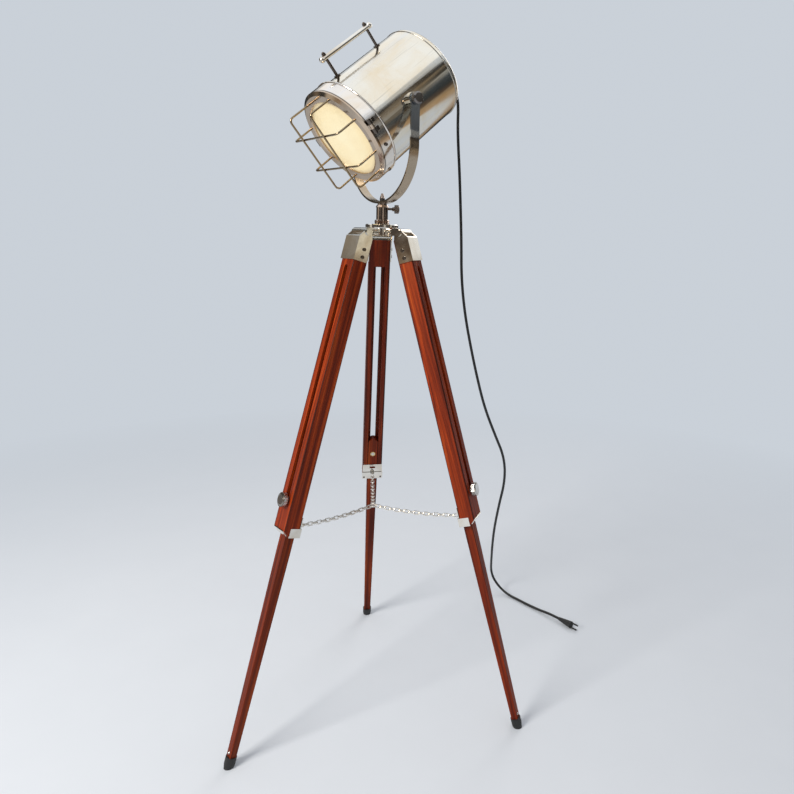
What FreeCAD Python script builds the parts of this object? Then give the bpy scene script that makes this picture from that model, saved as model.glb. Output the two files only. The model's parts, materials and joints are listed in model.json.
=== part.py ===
import FreeCAD, Part
import math
import os
import re
import Sketcher

# Tripod spotlight floor lamp: polished spotlight head on a yoke, over a wooden
# tripod with telescoping legs, spreader chains and a hanging power cord.
# Millimetres, +Z up, origin on the floor under the middle of the three feet.

SIZES = {
    # tripod layout
    "hinge_height": 1030.0,
    "hinge_reach": 48.7,
    "foot_reach": 338.4,
    # general fits
    "running_clearance": 0.05,
    "pilot_clearance": 0.15,
    "seat_gap": 0.3,
    "trim": 1.5,
    # hub
    "hub_disc_radius": 34.0,
    "hub_disc_thick": 8.0,
    "hub_core_radius": 16.0,
    "hub_arm_width": 15.0,
    "hub_arm_top": 9.0,
    "hub_arm_drop": 6.0,
    "barrel_radius": 9.0,
    "hinge_pin_radius": 4.0,
    "pin_head_radius": 7.0,
    "pin_head_thick": 3.5,
    # leg brackets
    "bracket_plate": 2.2,
    "bracket_inset": 13.0,
    "bracket_bottom": 62.0,
    "bracket_eye_radius": 9.0,
    "bracket_bridge_drop": 10.5,
    "bracket_screw_high": 37.0,
    "bracket_screw_low": 53.0,
    "screw_head_radius": 3.6,
    "screw_head_rise": 2.0,
    "screw_shank_radius": 1.8,
    "screw_shank_length": 9.0,
    # upper legs
    "upper_width": 46.0,
    "upper_depth": 32.0,
    "upper_end": 618.0,
    "upper_edge_round": 2.5,
    "upper_toe_chamfer": 8.5,
    "channel_width": 24.6,
    "channel_depth": 20.2,
    "slot_width": 12.0,
    "slot_top": 73.0,
    "slot_bottom": 559.5,
    # lower legs
    "lower_width": 24.0,
    "lower_depth": 19.5,
    "slide_lead": 41.0,
    "lower_taper_start": 650.0,
    "lower_toe_width": 16.0,
    "lower_toe_depth": 13.6,
    "lower_edge_round": 1.6,
    # clamp ferrules
    "ferrule_sheet": 1.6,
    "ferrule_overhang": 3.0,
    "ferrule_band": 18.0,
    "ferrule_wing": 21.0,
    "ferrule_plate": 39.0,
    "ferrule_slot_length": 14.0,
    "ferrule_slot_height": 5.0,
    "ferrule_slot_drop": 8.0,
    "bevel_plate_share": 1.2,
    # leg thumbscrews
    "thumb_height": 553.0,
    "thumb_stem_radius": 4.0,
    "thumb_disc_radius": 14.0,
    "thumb_disc_thick": 7.0,
    "thumb_standoff": 5.0,
    "thumb_washer": 1.5,
    "insert_radius": 6.0,
    # rubber feet
    "rubber_length": 22.0,
    "rubber_radius": 10.6,
    "rubber_nose_radius": 9.0,
    # spreader chain
    "ring_drop": 593.0,
    "ring_shift": 10.0,
    "ring_radius": 7.2,
    "ring_wire_radius": 1.3,
    "chain_wire": 2.0,
    "chain_gap": 0.2,
    "chain_link_width": 8.6,
    "chain_links": 17,
    "chain_sag": 5.0,
    "hook_rise": 17.0,
    "hook_eye_radius": 4.4,
    "hook_eye_wire": 1.8,
    # post
    "post_radius": 13.5,
    "post_length": 35.4,
    "post_lip": 1.5,
    "post_collar_height": 9.5,
    "post_collar_rise": 3.0,
    "post_cone_height": 5.0,
    "post_cone_radius": 11.0,
    "spigot_radius": 7.0,
    "knob_rise": 32.5,
    "knob_stem_radius": 2.5,
    "knob_stem_length": 9.0,
    "knob_neck_radius": 4.5,
    "knob_neck_length": 5.0,
    "knob_radius": 9.0,
    "knob_length": 8.0,
    # yoke
    "boss_length": 9.8,
    "yoke_sheet": 4.0,
    "yoke_width": 20.0,
    "yoke_neck_rise": 2.6,
    "yoke_neck_radius": 4.5,
    "yoke_arm_length": 87.7,
    "yoke_stud_radius": 4.0,
    "finial_hex": 6.0,
    "finial_hex_height": 7.0,
    "finial_rise": 10.0,
    # head
    "pan": 208.66,
    "tilt": 40.51,
    "body_radius": 98.9,
    "body_wall": 1.5,
    "body_rear": -128.2,
    "rear_cap_length": 14.0,
    "rear_cap_round": 9.0,
    "rear_bead_radius": 1.6,
    "body_front": 96.0,
    "collar_step": 4.7,
    "collar_overlap": 10.7,
    "collar_length": 31.7,
    "collar_bead_radius": 2.2,
    "collar_sheet": 1.5,
    "bezel_thick": 4.5,
    "bezel_width": 21.6,
    "bezel_rise": 8.0,
    "bezel_bevel": 4.6,
    "bezel_slope": 7.0,
    "glass_thick": 3.0,
    "reflector_lip": 2.0,
    "reflector_base": 26.0,
    "reflector_depth": 118.0,
    "reflector_setback": 6.8,
    "reflector_sheet": 1.2,
    "socket_radius": 20.0,
    "socket_length": 70.0,
    "socket_flange": 8.0,
    "socket_well": 24.0,
    "bulb_radius": 30.0,
    "bulb_neck_radius": 13.0,
    "bulb_length": 112.0,
    # front door
    "door_skirt": 5.0,
    "door_hinge_standoff": 6.0,
    "door_hinge_setback": 2.0,
    "door_hinge_rise": 12.0,
    "knuckle_radius": 4.5,
    "knuckle_length": 9.0,
    "door_pin_radius": 2.0,
    "latch_width": 16.0,
    "latch_length": 14.0,
    # yoke pivots
    "boss_radius": 13.0,
    "tilt_knob_radius": 12.0,
    "tilt_knob_thick": 11.0,
    # guard
    "guard_wire_radius": 2.0,
    "guard_inset": 11.6,
    "guard_vertical_spread": 41.0,
    "guard_cross_spread": 35.0,
    "guard_reach": 51.0,
    "guard_cross_drop": 3.7,
    "guard_bend": 9.0,
    # handle
    "handle_front": 56.0,
    "handle_rear": -60.0,
    "handle_rise": 40.1,
    "handle_root": 5.0,
    "nut_height": 3.5,
    "handle_post_radius": 3.0,
    "grip_radius": 4.6,
    "grip_overhang": 9.0,
    "grip_ball_radius": 6.0,
    # cord
    "cord_diameter": 6.6,
    "gland_reach": 22.0,
    "gland_nut": 6.0,
    "gland_radius": 8.0,
    "gland_side": -30.0,
    "gland_drop": 46.0,
    "plug_length": 42.0,
    "plug_radius": 9.0,
    "plug_pin_radius": 2.0,
    "plug_pin_length": 19.0,
    "plug_pin_spread": 5.5,
}

# Lengths and places that follow from the sizes
PLACES = {
    "leg_length": "sqrt((foot_reach - hinge_reach) ^ 2 + hinge_height ^ 2)",
    "rubber_top": "leg_length - rubber_length",
    "rail_top": "bracket_bridge_drop + bracket_plate",
    "rail_outside": "upper_depth / 2 + bracket_plate",
    "rail_side": "upper_width / 2 + bracket_plate",
    "slide_front": "channel_depth - upper_depth / 2 - seat_gap",
    "slide_back": "slide_front - lower_depth",
    "ferrule_bottom": "upper_end + ferrule_overhang",
    "hook_height": "ferrule_bottom - hook_rise",
    "ring_height": "hinge_height - ring_drop",
    "post_bottom": "hinge_height + hub_arm_top + hub_disc_thick",
    "lower_top": "thumb_height - slide_lead",
    "post_wall": "post_radius - post_lip",
    "post_top": "post_bottom + post_length",
    "post_end": "post_top + post_cone_height",
    "knob_height": "post_bottom + knob_rise",
    "yoke_inner": "body_radius + boss_length + seat_gap",
    "yoke_outer": "yoke_inner + yoke_sheet",
    "yoke_bottom": "post_end + yoke_neck_rise",
    "yoke_centre_height": "yoke_bottom + yoke_outer",
    "pivot_height": "yoke_centre_height + yoke_arm_length",
    "body_inner": "body_radius - body_wall",
    "cap_front": "body_rear + rear_cap_length",
    "collar_radius": "body_radius + collar_step",
    "collar_inner": "collar_radius - collar_sheet",
    "collar_rear": "body_front - collar_overlap",
    "collar_front": "collar_rear + collar_length",
    "door_radius": "collar_inner - seat_gap",
    "bezel_inner": "collar_radius - bezel_width",
    "bezel_front": "collar_front + bezel_rise",
    "bezel_lip": "bezel_front - bezel_bevel",
    "bezel_rear": "bezel_front - bezel_thick",
    "reflector_mouth": "bezel_inner + reflector_lip",
    "reflector_rim": "collar_front - reflector_setback",
    "door_hinge_place": "collar_front - door_hinge_setback",
    "door_hinge_reach": "collar_radius + door_hinge_standoff",
    "guard_ring_radius": "collar_radius - guard_inset",
    "guard_front": "bezel_front + guard_reach",
    "handle_height": "body_radius + handle_rise",
}

doc = FreeCAD.newDocument("tripod_spotlight")
sheet = doc.addObject("Spreadsheet::Sheet", "dims")
for row, (alias, number) in enumerate(SIZES.items(), 1):
    sheet.set("A%d" % row, alias)
    sheet.set("B%d" % row, str(number))
    sheet.setAlias("B%d" % row, alias)
doc.recompute()

SUBPARTS = []
LEGS = {"rear": 90.0, "left": 210.0, "right": 330.0}
V = FreeCAD.Vector


def formula(text):
    """Text in the names of sizes and places, written as an expression of the document."""
    def link(found):
        word = found.group(0)
        if word in SIZES:
            return "dims." + word
        return "places." + word if word in PLACES else word
    return re.sub(r"[a-z][a-z_]*", link, str(text))


places = doc.addObject("App::FeaturePython", "places")
for word, text in PLACES.items():
    places.addProperty("App::PropertyFloat", word)
    places.setExpression(word, formula(text))
doc.recompute()


def size(alias):
    """The number that the sheet holds under this name, or that follows from it."""
    return getattr(places, alias) if alias in PLACES else float(sheet.get(alias))


def bind(item, **sizes):
    """Bind properties of an object to expressions of the sheet's names."""
    for name, text in sizes.items():
        if name.startswith("at_"):
            name = "Placement.Base." + name[-1]
        if text != 0:
            item.setExpression(name, formula(text))


def box(name, length, width, height, at_x=0, at_y=0, at_z=0):
    item = doc.addObject("Part::Box", name)
    bind(item, Length=length, Width=width, Height=height, at_x=at_x, at_y=at_y, at_z=at_z)
    return item


AXIS_TURN = {
    "x": FreeCAD.Rotation(V(0, 1, 0), 90),
    "y": FreeCAD.Rotation(V(1, 0, 0), -90),
    "z": FreeCAD.Rotation(),
}


def rod(name, radius, height, at_x=0, at_y=0, at_z=0, along="z"):
    item = doc.addObject("Part::Cylinder", name)
    item.Placement = FreeCAD.Placement(V(), AXIS_TURN[along])
    bind(item, Radius=radius, Height=height, at_x=at_x, at_y=at_y, at_z=at_z)
    return item


def cone(name, radius, end_radius, height, at_x=0, at_y=0, at_z=0, along="z"):
    item = doc.addObject("Part::Cone", name)
    item.Placement = FreeCAD.Placement(V(), AXIS_TURN[along])
    bind(item, Radius1=radius, Radius2=end_radius, Height=height, at_x=at_x, at_y=at_y, at_z=at_z)
    return item


def ball(name, radius, at_x=0, at_y=0, at_z=0):
    item = doc.addObject("Part::Sphere", name)
    bind(item, Radius=radius, at_x=at_x, at_y=at_y, at_z=at_z)
    return item


def ring(name, radius, wire, at_x=0, at_y=0, at_z=0):
    item = doc.addObject("Part::Torus", name)
    bind(item, Radius1=radius, Radius2=wire, at_x=at_x, at_y=at_y, at_z=at_z)
    return item


def joined(name, *pieces):
    item = doc.addObject("Part::MultiFuse", name)
    item.Shapes = list(pieces)
    return item


def carved(name, base, *tools):
    item = doc.addObject("Part::Cut", name)
    item.Base = base
    item.Tool = tools[0] if len(tools) == 1 else joined(name + "_tools", *tools)
    return item


def profile(body, role, corners):
    """A closed sketch of straight lines through corners given as formulas."""
    sketch = body.newObject("Sketcher::SketchObject", body.Name + "_profile")
    plane = [item for item in body.Origin.OriginFeatures if item.Role == role][0]
    sketch.AttachmentSupport = [(plane, "")]
    sketch.MapMode = "FlatFace"
    count = len(corners)
    start = [V(math.cos(math.tau * i / count) + 2, math.sin(math.tau * i / count), 0) * count
             for i in range(count)]
    for i in range(count):
        sketch.addGeometry(Part.LineSegment(start[i], start[(i + 1) % count]), False)
    for i in range(count):
        sketch.addConstraint(Sketcher.Constraint("Coincident", i, 2, (i + 1) % count, 1))
    for i, (across, up) in enumerate(corners):
        for kind, text, now in (("DistanceX", across, start[i].x), ("DistanceY", up, start[i].y)):
            place = sketch.addConstraint(Sketcher.Constraint(kind, -1, 1, i, 1, now))
            sketch.setExpression("Constraints[%d]" % place, formula(text))
    return sketch


def turned(name, corners):
    """A body of revolution about its own Z axis, from radius and height corners."""
    body = doc.addObject("PartDesign::Body", name)
    sketch = profile(body, "XZ_Plane", corners)
    feature = body.newObject("PartDesign::Revolution", name + "_turn")
    feature.Profile = sketch
    feature.ReferenceAxis = (sketch, ["V_Axis"])
    feature.Angle = 360
    return body


def pressed(name, role, corners, thick):
    """A plate cut to an outline and given its thickness on both sides of its plane."""
    body = doc.addObject("PartDesign::Body", name)
    sketch = profile(body, role, corners)
    feature = body.newObject("PartDesign::Pad", name + "_pad")
    feature.Profile = sketch
    feature.Midplane = True
    bind(feature, Length=thick)
    return body


def round_edges(body, radius, wanted):
    """Fillet the body's edges that the test picks."""
    doc.recompute()
    base = body.Tip
    names = ["Edge%d" % (i + 1) for i, edge in enumerate(base.Shape.Edges) if wanted(edge)]
    fillet = body.newObject("PartDesign::Fillet", body.Name + "_round")
    fillet.Base = (base, names)
    bind(fillet, Radius=radius)
    return body


def subpart(name, item, placement=None):
    """Register the finished sub-part under the name of its file."""
    item.Label = name
    if placement is not None:
        item.Placement = placement
    SUBPARTS.append((name, item))
    return item


def from_shape(name, shape, placement=None):
    item = doc.addObject("Part::Feature", name)
    item.Shape = shape
    return subpart(name, item, placement)


def tube(points, radius, bend=None):
    """A round tube along straight runs joined by tangent arcs."""
    arcs = []
    for before, corner, after in zip(points, points[1:], points[2:]):
        back = before - corner
        ahead = after - corner
        half_turn = (math.pi - back.getAngle(ahead)) / 2
        room = 0.45 * min(back.Length, ahead.Length)
        reach = room if bend is None else bend * math.tan(half_turn)
        arcs.append((corner, back.normalize(), ahead.normalize(), reach, reach / math.tan(half_turn)))
    edges = []
    here = points[0]
    for corner, back, ahead, reach, curve in arcs:
        first = corner + back * reach
        last = corner + ahead * reach
        inward = (back + ahead).normalize()
        centre_distance = math.hypot(reach, curve)
        middle = corner + inward * (centre_distance - curve)
        edges.append(Part.LineSegment(here, first).toShape())
        edges.append(Part.Arc(first, middle, last).toShape())
        here = last
    edges.append(Part.LineSegment(here, points[-1]).toShape())
    path = Part.Wire(edges)
    section = Part.Wire(Part.makeCircle(radius, points[0], points[1] - points[0]))
    shell = Part.BRepOffsetAPI.MakePipeShell(path)
    shell.add(section)
    shell.setTransitionMode(0)
    shell.build()
    shell.makeSolid()
    return shell.shape(), path.Length, [curve for _, _, _, _, curve in arcs]


# Frames that the sub-parts stand in
tripod_axis = FreeCAD.Placement(V(0, -size("foot_reach") / 4, 0), FreeCAD.Rotation())
leg_lean = math.degrees(math.atan((size("foot_reach") - size("hinge_reach")) / size("hinge_height")))
Z_AXIS = V(0, 0, 1)
Y_AXIS = V(0, 1, 0)


def leg_frame(azimuth):
    """Origin in the hinge pin, Z up along the leg, X outward, Y along the pin."""
    out = FreeCAD.Placement(V(), FreeCAD.Rotation(Z_AXIS, azimuth))
    up = FreeCAD.Placement(V(size("hinge_reach"), 0, size("hinge_height")),
                           FreeCAD.Rotation(Y_AXIS, -leg_lean))
    return tripod_axis * out * up


# Yoke frame: X forward, Y to the side of the pivots, Z up, on the floor under the post
yoke_frame = tripod_axis * FreeCAD.Placement(V(), FreeCAD.Rotation(Z_AXIS, size("pan")))
# Head frame: X to the side along the pivots, Y up from the drum, Z forward along the drum
head_frame = (yoke_frame
              * FreeCAD.Placement(V(0, 0, size("pivot_height")), FreeCAD.Rotation(Y_AXIS, size("tilt")))
              * FreeCAD.Placement(V(), FreeCAD.Rotation(V(1, 1, 1), 120)))


def hub():
    """Turned hub with three hinge barrels, its disc and its neck."""
    core = turned("hub_core", [
        ("0", "hinge_height - hub_arm_drop"),
        ("hub_core_radius", "hinge_height - hub_arm_drop"),
        ("hub_core_radius", "hinge_height + hub_arm_top"),
        ("hub_disc_radius - trim", "hinge_height + hub_arm_top"),
        ("hub_disc_radius", "hinge_height + hub_arm_top + trim"),
        ("hub_disc_radius", "post_bottom - trim"),
        ("hub_disc_radius - trim", "post_bottom"),
        ("0", "post_bottom")])
    ear_gap = "(upper_width - 2 * seat_gap)"
    pieces = [core]
    for side, azimuth in LEGS.items():
        turn = FreeCAD.Placement(V(), FreeCAD.Rotation(Z_AXIS, azimuth))
        arm = box("hub_arm_" + side, "hinge_reach", "hub_arm_width", "hub_arm_top + hub_arm_drop",
                  "0", "-hub_arm_width / 2", "hinge_height - hub_arm_drop")
        barrel = rod("hub_barrel_" + side, "barrel_radius", ear_gap, "hinge_reach",
                     "-" + ear_gap + " / 2", "hinge_height", along="y")
        bore = rod("hub_bore_" + side, "hinge_pin_radius + running_clearance", "upper_width",
                   "hinge_reach", "-upper_width / 2", "hinge_height", along="y")
        branch = carved("hub_branch_" + side, joined("hub_solid_" + side, arm, barrel), bore)
        branch.Placement = turn
        pieces.append(branch)
    subpart("hub_casting", joined("hub_casting", *pieces), tripod_axis)


def hinge_pin(side, frame):
    """Headed hinge pin through both bracket ears and the hub barrel."""
    shank = rod("pin_shank_" + side, "hinge_pin_radius", "2 * rail_side", "0", "-rail_side", "0",
                along="y")
    head = rod("pin_head_" + side, "pin_head_radius", "pin_head_thick", "0", "rail_side", "0",
               along="y")
    nut = rod("pin_nut_" + side, "pin_head_radius", "pin_head_thick", "0",
              "-rail_side - pin_head_thick", "0", along="y")
    subpart("hinge_pin_" + side, joined("hinge_pin_" + side, shank, head, nut), frame)


def screw_rows(side, part, radius, length, offset):
    """Rods at the bracket's four screws, each from its given distance off the middle."""
    rods = []
    for row, drop in enumerate(("bracket_screw_high", "bracket_screw_low")):
        rods.append(rod("%s_near_%s_%d" % (part, side, row), radius, length,
                        "0", "-" + offset + " - " + length, "-" + drop, along="y"))
        rods.append(rod("%s_far_%s_%d" % (part, side, row), radius, length,
                        "0", offset, "-" + drop, along="y"))
    return rods


def leg_bracket(side, frame):
    """Folded cap on the rail's end: two eared cheeks, an outer plate and a bridge."""
    across = "2 * rail_side"
    cheek = pressed("bracket_cheeks_" + side, "XZ_Plane", [
        ("-bracket_inset", "-bracket_bottom"),
        ("rail_outside", "-bracket_bottom"),
        ("rail_outside", "-rail_top"),
        ("bracket_eye_radius", "0"),
        ("-bracket_eye_radius", "0"),
        ("-bracket_inset", "-rail_top")], across)
    eye = rod("bracket_eye_" + side, "bracket_eye_radius", across, "0", "-rail_side", "0", along="y")
    under = box("bracket_under_" + side, "bracket_inset + rail_outside - bracket_plate + 1",
                "upper_width", "bracket_bottom", "-bracket_inset - 1", "-upper_width / 2",
                "-bracket_bottom - rail_top")
    over = box("bracket_over_" + side, "bracket_inset + rail_outside + 2", "upper_width",
               "bracket_bridge_drop + 2 * bracket_eye_radius", "-bracket_inset - 1",
               "-upper_width / 2", "-bracket_bridge_drop")
    bore = rod("bracket_bore_" + side, "hinge_pin_radius + running_clearance",
               across + " + 2 * bracket_plate", "0", "-rail_side - bracket_plate", "0", along="y")
    holes = screw_rows(side, "bracket_hole", "screw_shank_radius + pilot_clearance",
                       "2 * bracket_plate", "(upper_width / 2 - bracket_plate / 2)")
    blank = joined("bracket_blank_" + side, cheek, eye)
    subpart("leg_bracket_" + side,
            carved("leg_bracket_" + side, blank, under, over, bore, *holes), frame)


def bracket_screws(side, frame):
    """Four round-head wood screws, seated on the bracket's cheeks."""
    heads = screw_rows(side, "screw_head", "screw_head_radius", "screw_head_rise", "rail_side")
    shanks = screw_rows(side, "screw_shank", "screw_shank_radius",
                        "(screw_shank_length + bracket_plate)",
                        "(upper_width / 2 - screw_shank_length)")
    subpart("bracket_screws_" + side, joined("bracket_screws_" + side, *heads, *shanks), frame)


def upper_leg(side, frame):
    """Channelled wooden rail, open to the inside, with a through slot in its outer wall."""
    rail = pressed("rail_" + side, "XZ_Plane", [
        ("-upper_depth / 2", "-rail_top"),
        ("upper_depth / 2", "-rail_top"),
        ("upper_depth / 2", "upper_toe_chamfer - upper_end"),
        ("upper_depth / 2 - upper_toe_chamfer", "-upper_end"),
        ("-upper_depth / 2", "-upper_end")], "upper_width")
    quarter = size("upper_width") / 4
    round_edges(rail, "upper_edge_round",
                lambda edge: edge.Length > size("upper_end") / 2
                and abs(edge.CenterOfMass.y) > quarter)
    channel = box("channel_" + side, "channel_depth + 1", "channel_width", "upper_end - slot_top + 1",
                  "-upper_depth / 2 - 1", "-channel_width / 2", "-upper_end - 1")
    slot = box("slot_" + side, "upper_depth", "slot_width", "slot_bottom - slot_top - slot_width",
               "-1", "-slot_width / 2", "slot_width / 2 - slot_bottom")
    slot_foot = rod("slot_foot_" + side, "slot_width / 2", "upper_depth", "-1", "0",
                    "slot_width / 2 - slot_bottom", along="x")
    slot_head = rod("slot_head_" + side, "slot_width / 2", "upper_depth", "-1", "0",
                    "-slot_top - slot_width / 2", along="x")
    holes = screw_rows(side, "rail_hole", "screw_shank_radius + pilot_clearance",
                       "(screw_shank_length + 2 * pilot_clearance)",
                       "(upper_width / 2 - screw_shank_length - pilot_clearance)")
    subpart("upper_leg_" + side,
            carved("upper_leg_" + side, rail, channel, slot, slot_foot, slot_head, *holes), frame)


def ferrule(side, frame):
    """Clamp at the channel's mouth: a slotted inner plate, a band bent over it round the
    rail's sides, the chain's eye, and a bevel plate on the outer toe."""
    plate = box("ferrule_plate_" + side, "ferrule_sheet", "upper_width", "ferrule_plate",
                "-upper_depth / 2 - ferrule_sheet", "-upper_width / 2", "-ferrule_bottom")
    outside = box("ferrule_outside_" + side, "ferrule_wing + 2 * ferrule_sheet",
                  "upper_width + 2 * ferrule_sheet", "ferrule_band",
                  "-upper_depth / 2 - 2 * ferrule_sheet", "-upper_width / 2 - ferrule_sheet",
                  "-ferrule_bottom")
    inside = box("ferrule_inside_" + side, "upper_depth + ferrule_sheet", "upper_width",
                 "2 * ferrule_band", "-upper_depth / 2 - ferrule_sheet", "-upper_width / 2",
                 "-ferrule_bottom - ferrule_band / 2")
    band = carved("ferrule_band_" + side, outside, inside)
    slot_height = "ferrule_plate - ferrule_bottom - ferrule_slot_drop"
    half_slot = "(ferrule_slot_length - ferrule_slot_height) / 2"
    window = box("ferrule_window_" + side, "3 * ferrule_sheet",
                 "ferrule_slot_length - ferrule_slot_height", "ferrule_slot_height",
                 "-upper_depth / 2 - 2 * ferrule_sheet", "-" + half_slot,
                 slot_height + " - ferrule_slot_height / 2")
    ends = []
    for word, sign in (("low", "-"), ("high", "")):
        ends.append(rod("ferrule_window_%s_%s" % (word, side), "ferrule_slot_height / 2",
                        "3 * ferrule_sheet", "-upper_depth / 2 - 2 * ferrule_sheet",
                        sign + half_slot, slot_height, along="x"))
    clamp = joined("ferrule_clamp_" + side, carved("ferrule_slotted_" + side, plate, window, *ends),
                   band)
    eye = doc.addObject("Part::Feature", "hook_eye_" + side)
    eye.Shape = hook_eye()
    bevel = box("bevel_plate_" + side, "ferrule_sheet", "upper_width - 4 * upper_edge_round",
                "bevel_plate_share * sqrt(2) * upper_toe_chamfer")
    middle = V(size("upper_depth") / 2 - size("upper_toe_chamfer") / 2, 0,
               size("upper_toe_chamfer") / 2 - size("upper_end"))
    corner = V(0, 2 * size("upper_edge_round") - size("upper_width") / 2,
               -size("bevel_plate_share") * size("upper_toe_chamfer") / math.sqrt(2))
    bevel.Placement = (FreeCAD.Placement(middle, FreeCAD.Rotation(Y_AXIS, 45))
                       * FreeCAD.Placement(corner, FreeCAD.Rotation()))
    subpart("ferrule_" + side, joined("ferrule_" + side, clamp, eye, bevel), frame)


def rounded(half_width, front, rear, height):
    """A rectangle with rounded corners at a height, for the sliding leg's sections."""
    curve = size("lower_edge_round")
    nook = curve * (1 - math.sqrt(0.5))
    edges = []
    ways = [(front, 1, half_width, 1), (rear, -1, half_width, 1),
            (rear, -1, -half_width, -1), (front, 1, -half_width, -1)]
    arcs = []
    for x, out_x, y, out_y in ways:
        along_x = V(x - out_x * curve, y, height)
        along_y = V(x, y - out_y * curve, height)
        corner = V(x - out_x * nook, y - out_y * nook, height)
        first, last = (along_y, along_x) if out_x == out_y else (along_x, along_y)
        arcs.append((first, corner, last))
    for (first, corner, last), (after, _, _) in zip(arcs, arcs[1:] + arcs[:1]):
        edges.append(Part.Arc(first, corner, last).toShape())
        edges.append(Part.LineSegment(last, after).toShape())
    return Part.Wire(edges)


def lower_leg(side, frame):
    """Sliding wooden leg: rounded top, straight shank, long taper to its toe."""
    half = size("lower_width") / 2
    toe = size("lower_toe_width") / 2
    depth = size("lower_depth")
    front = size("slide_front")
    rear = size("slide_back")
    top = -size("lower_top")
    taper = -size("lower_taper_start")
    slim = (depth - size("lower_toe_depth")) / 2
    shank = Part.Face(rounded(half, front, rear, taper)).extrude(V(0, 0, top - taper))
    crown = Part.makeCylinder(half, depth, V(rear, 0, top - half), V(1, 0, 0))
    below = Part.makeBox(depth, 2 * half, top - half - taper, V(rear, -half, taper))
    shank = shank.common(crown.fuse(below))
    tapered = Part.makeLoft([rounded(half, front, rear, taper),
                             rounded(toe, front - slim, rear + slim, -size("rubber_top"))],
                            True, True)
    hole = Part.makeCylinder(size("insert_radius"), 2 * depth,
                             V(rear - depth / 2, 0, -size("thumb_height")), V(1, 0, 0))
    from_shape("lower_leg_" + side, shank.fuse(tapered).cut(hole), frame)


def thread_insert(side, frame):
    """Bushing through the lower leg that the thumbscrew's stem turns in."""
    sleeve = rod("insert_sleeve_" + side, "insert_radius - running_clearance", "lower_depth",
                 "slide_back", "0", "-thumb_height", along="x")
    bore = rod("insert_bore_" + side, "thumb_stem_radius + running_clearance", "2 * lower_depth",
               "slide_back - lower_depth / 2", "0", "-thumb_height", along="x")
    subpart("thread_insert_" + side, carved("thread_insert_" + side, sleeve, bore), frame)


def leg_thumbscrew(side, frame):
    """Disc-headed clamping screw through the slot and the lower leg's bushing."""
    face = "(upper_depth / 2 + seat_gap)"
    seat = "(upper_depth / 2 + thumb_standoff)"
    stem = rod("thumb_stem_" + side, "thumb_stem_radius", seat + " - slide_back", "slide_back", "0",
               "-thumb_height", along="x")
    washer = rod("thumb_washer_" + side, "slot_width / 2 + 2 * thumb_washer", "thumb_washer", face,
                 "0", "-thumb_height", along="x")
    neck = cone("thumb_neck_" + side, "slot_width / 2 + 1", "thumb_stem_radius + 1",
                "thumb_standoff - thumb_washer - seat_gap", face + " + thumb_washer", "0",
                "-thumb_height", along="x")
    disc = rod("thumb_disc_" + side, "thumb_disc_radius", "thumb_disc_thick", seat, "0",
               "-thumb_height", along="x")
    crown = cone("thumb_crown_" + side, "thumb_disc_radius - trim", "thumb_disc_radius - 3 * trim",
                 "trim", seat + " + thumb_disc_thick", "0", "-thumb_height", along="x")
    subpart("leg_thumbscrew_" + side,
            joined("leg_thumbscrew_" + side, stem, washer, neck, disc, crown), frame)


def rubber_foot(side, frame):
    """Rubber tip on the leg's toe, worn flat where it stands on the floor."""
    tip = turned("tip_" + side, [
        ("0", "rubber_length - leg_length"),
        ("rubber_radius", "rubber_length - leg_length"),
        ("rubber_radius", "rubber_length * 0.4 - leg_length"),
        ("rubber_nose_radius", "-leg_length"),
        ("rubber_nose_radius", "-leg_length - rubber_radius"),
        ("0", "-leg_length - rubber_radius")])
    tip.Placement = FreeCAD.Placement(V(size("slide_front") - size("lower_depth") / 2, 0, 0),
                                      FreeCAD.Rotation())
    side_length = 6 * size("rubber_radius")
    floor = doc.addObject("Part::Box", "floor_" + side)
    bind(floor, Length="6 * rubber_radius", Width="6 * rubber_radius", Height="6 * rubber_radius")
    under = FreeCAD.Placement(V(-side_length / 2, -side_length / 2, -side_length),
                              FreeCAD.Rotation())
    floor.Placement = leg_frame(0).inverse() * tripod_axis * FreeCAD.Placement(
        V(size("foot_reach"), 0, 0), FreeCAD.Rotation()) * under
    subpart("rubber_foot_" + side, carved("rubber_foot_" + side, tip, floor), frame)


def octagon(half_length, half_width, thick):
    """An eight-sided link plate in the XY plane, long along X, as an outline."""
    cut = half_width * (2 - math.sqrt(2))
    corners = [V(half_length - cut, -half_width, 0), V(half_length, -half_width + cut, 0),
               V(half_length, half_width - cut, 0), V(half_length - cut, half_width, 0),
               V(cut - half_length, half_width, 0), V(-half_length, half_width - cut, 0),
               V(-half_length, cut - half_width, 0), V(cut - half_length, -half_width, 0)]
    face = Part.Face(Part.makePolygon(corners + corners[:1]))
    return face.extrude(V(0, 0, thick)).translated(V(0, 0, -thick / 2))


def chain_link(length, width, wire):
    outer = octagon(length / 2, width / 2, wire)
    inner = octagon(length / 2 - wire, width / 2 - wire, 2 * wire)
    return outer.cut(inner)


def ring_centre():
    return tripod_axis.multVec(V(-size("ring_shift"), 0, size("ring_height")))


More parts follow.
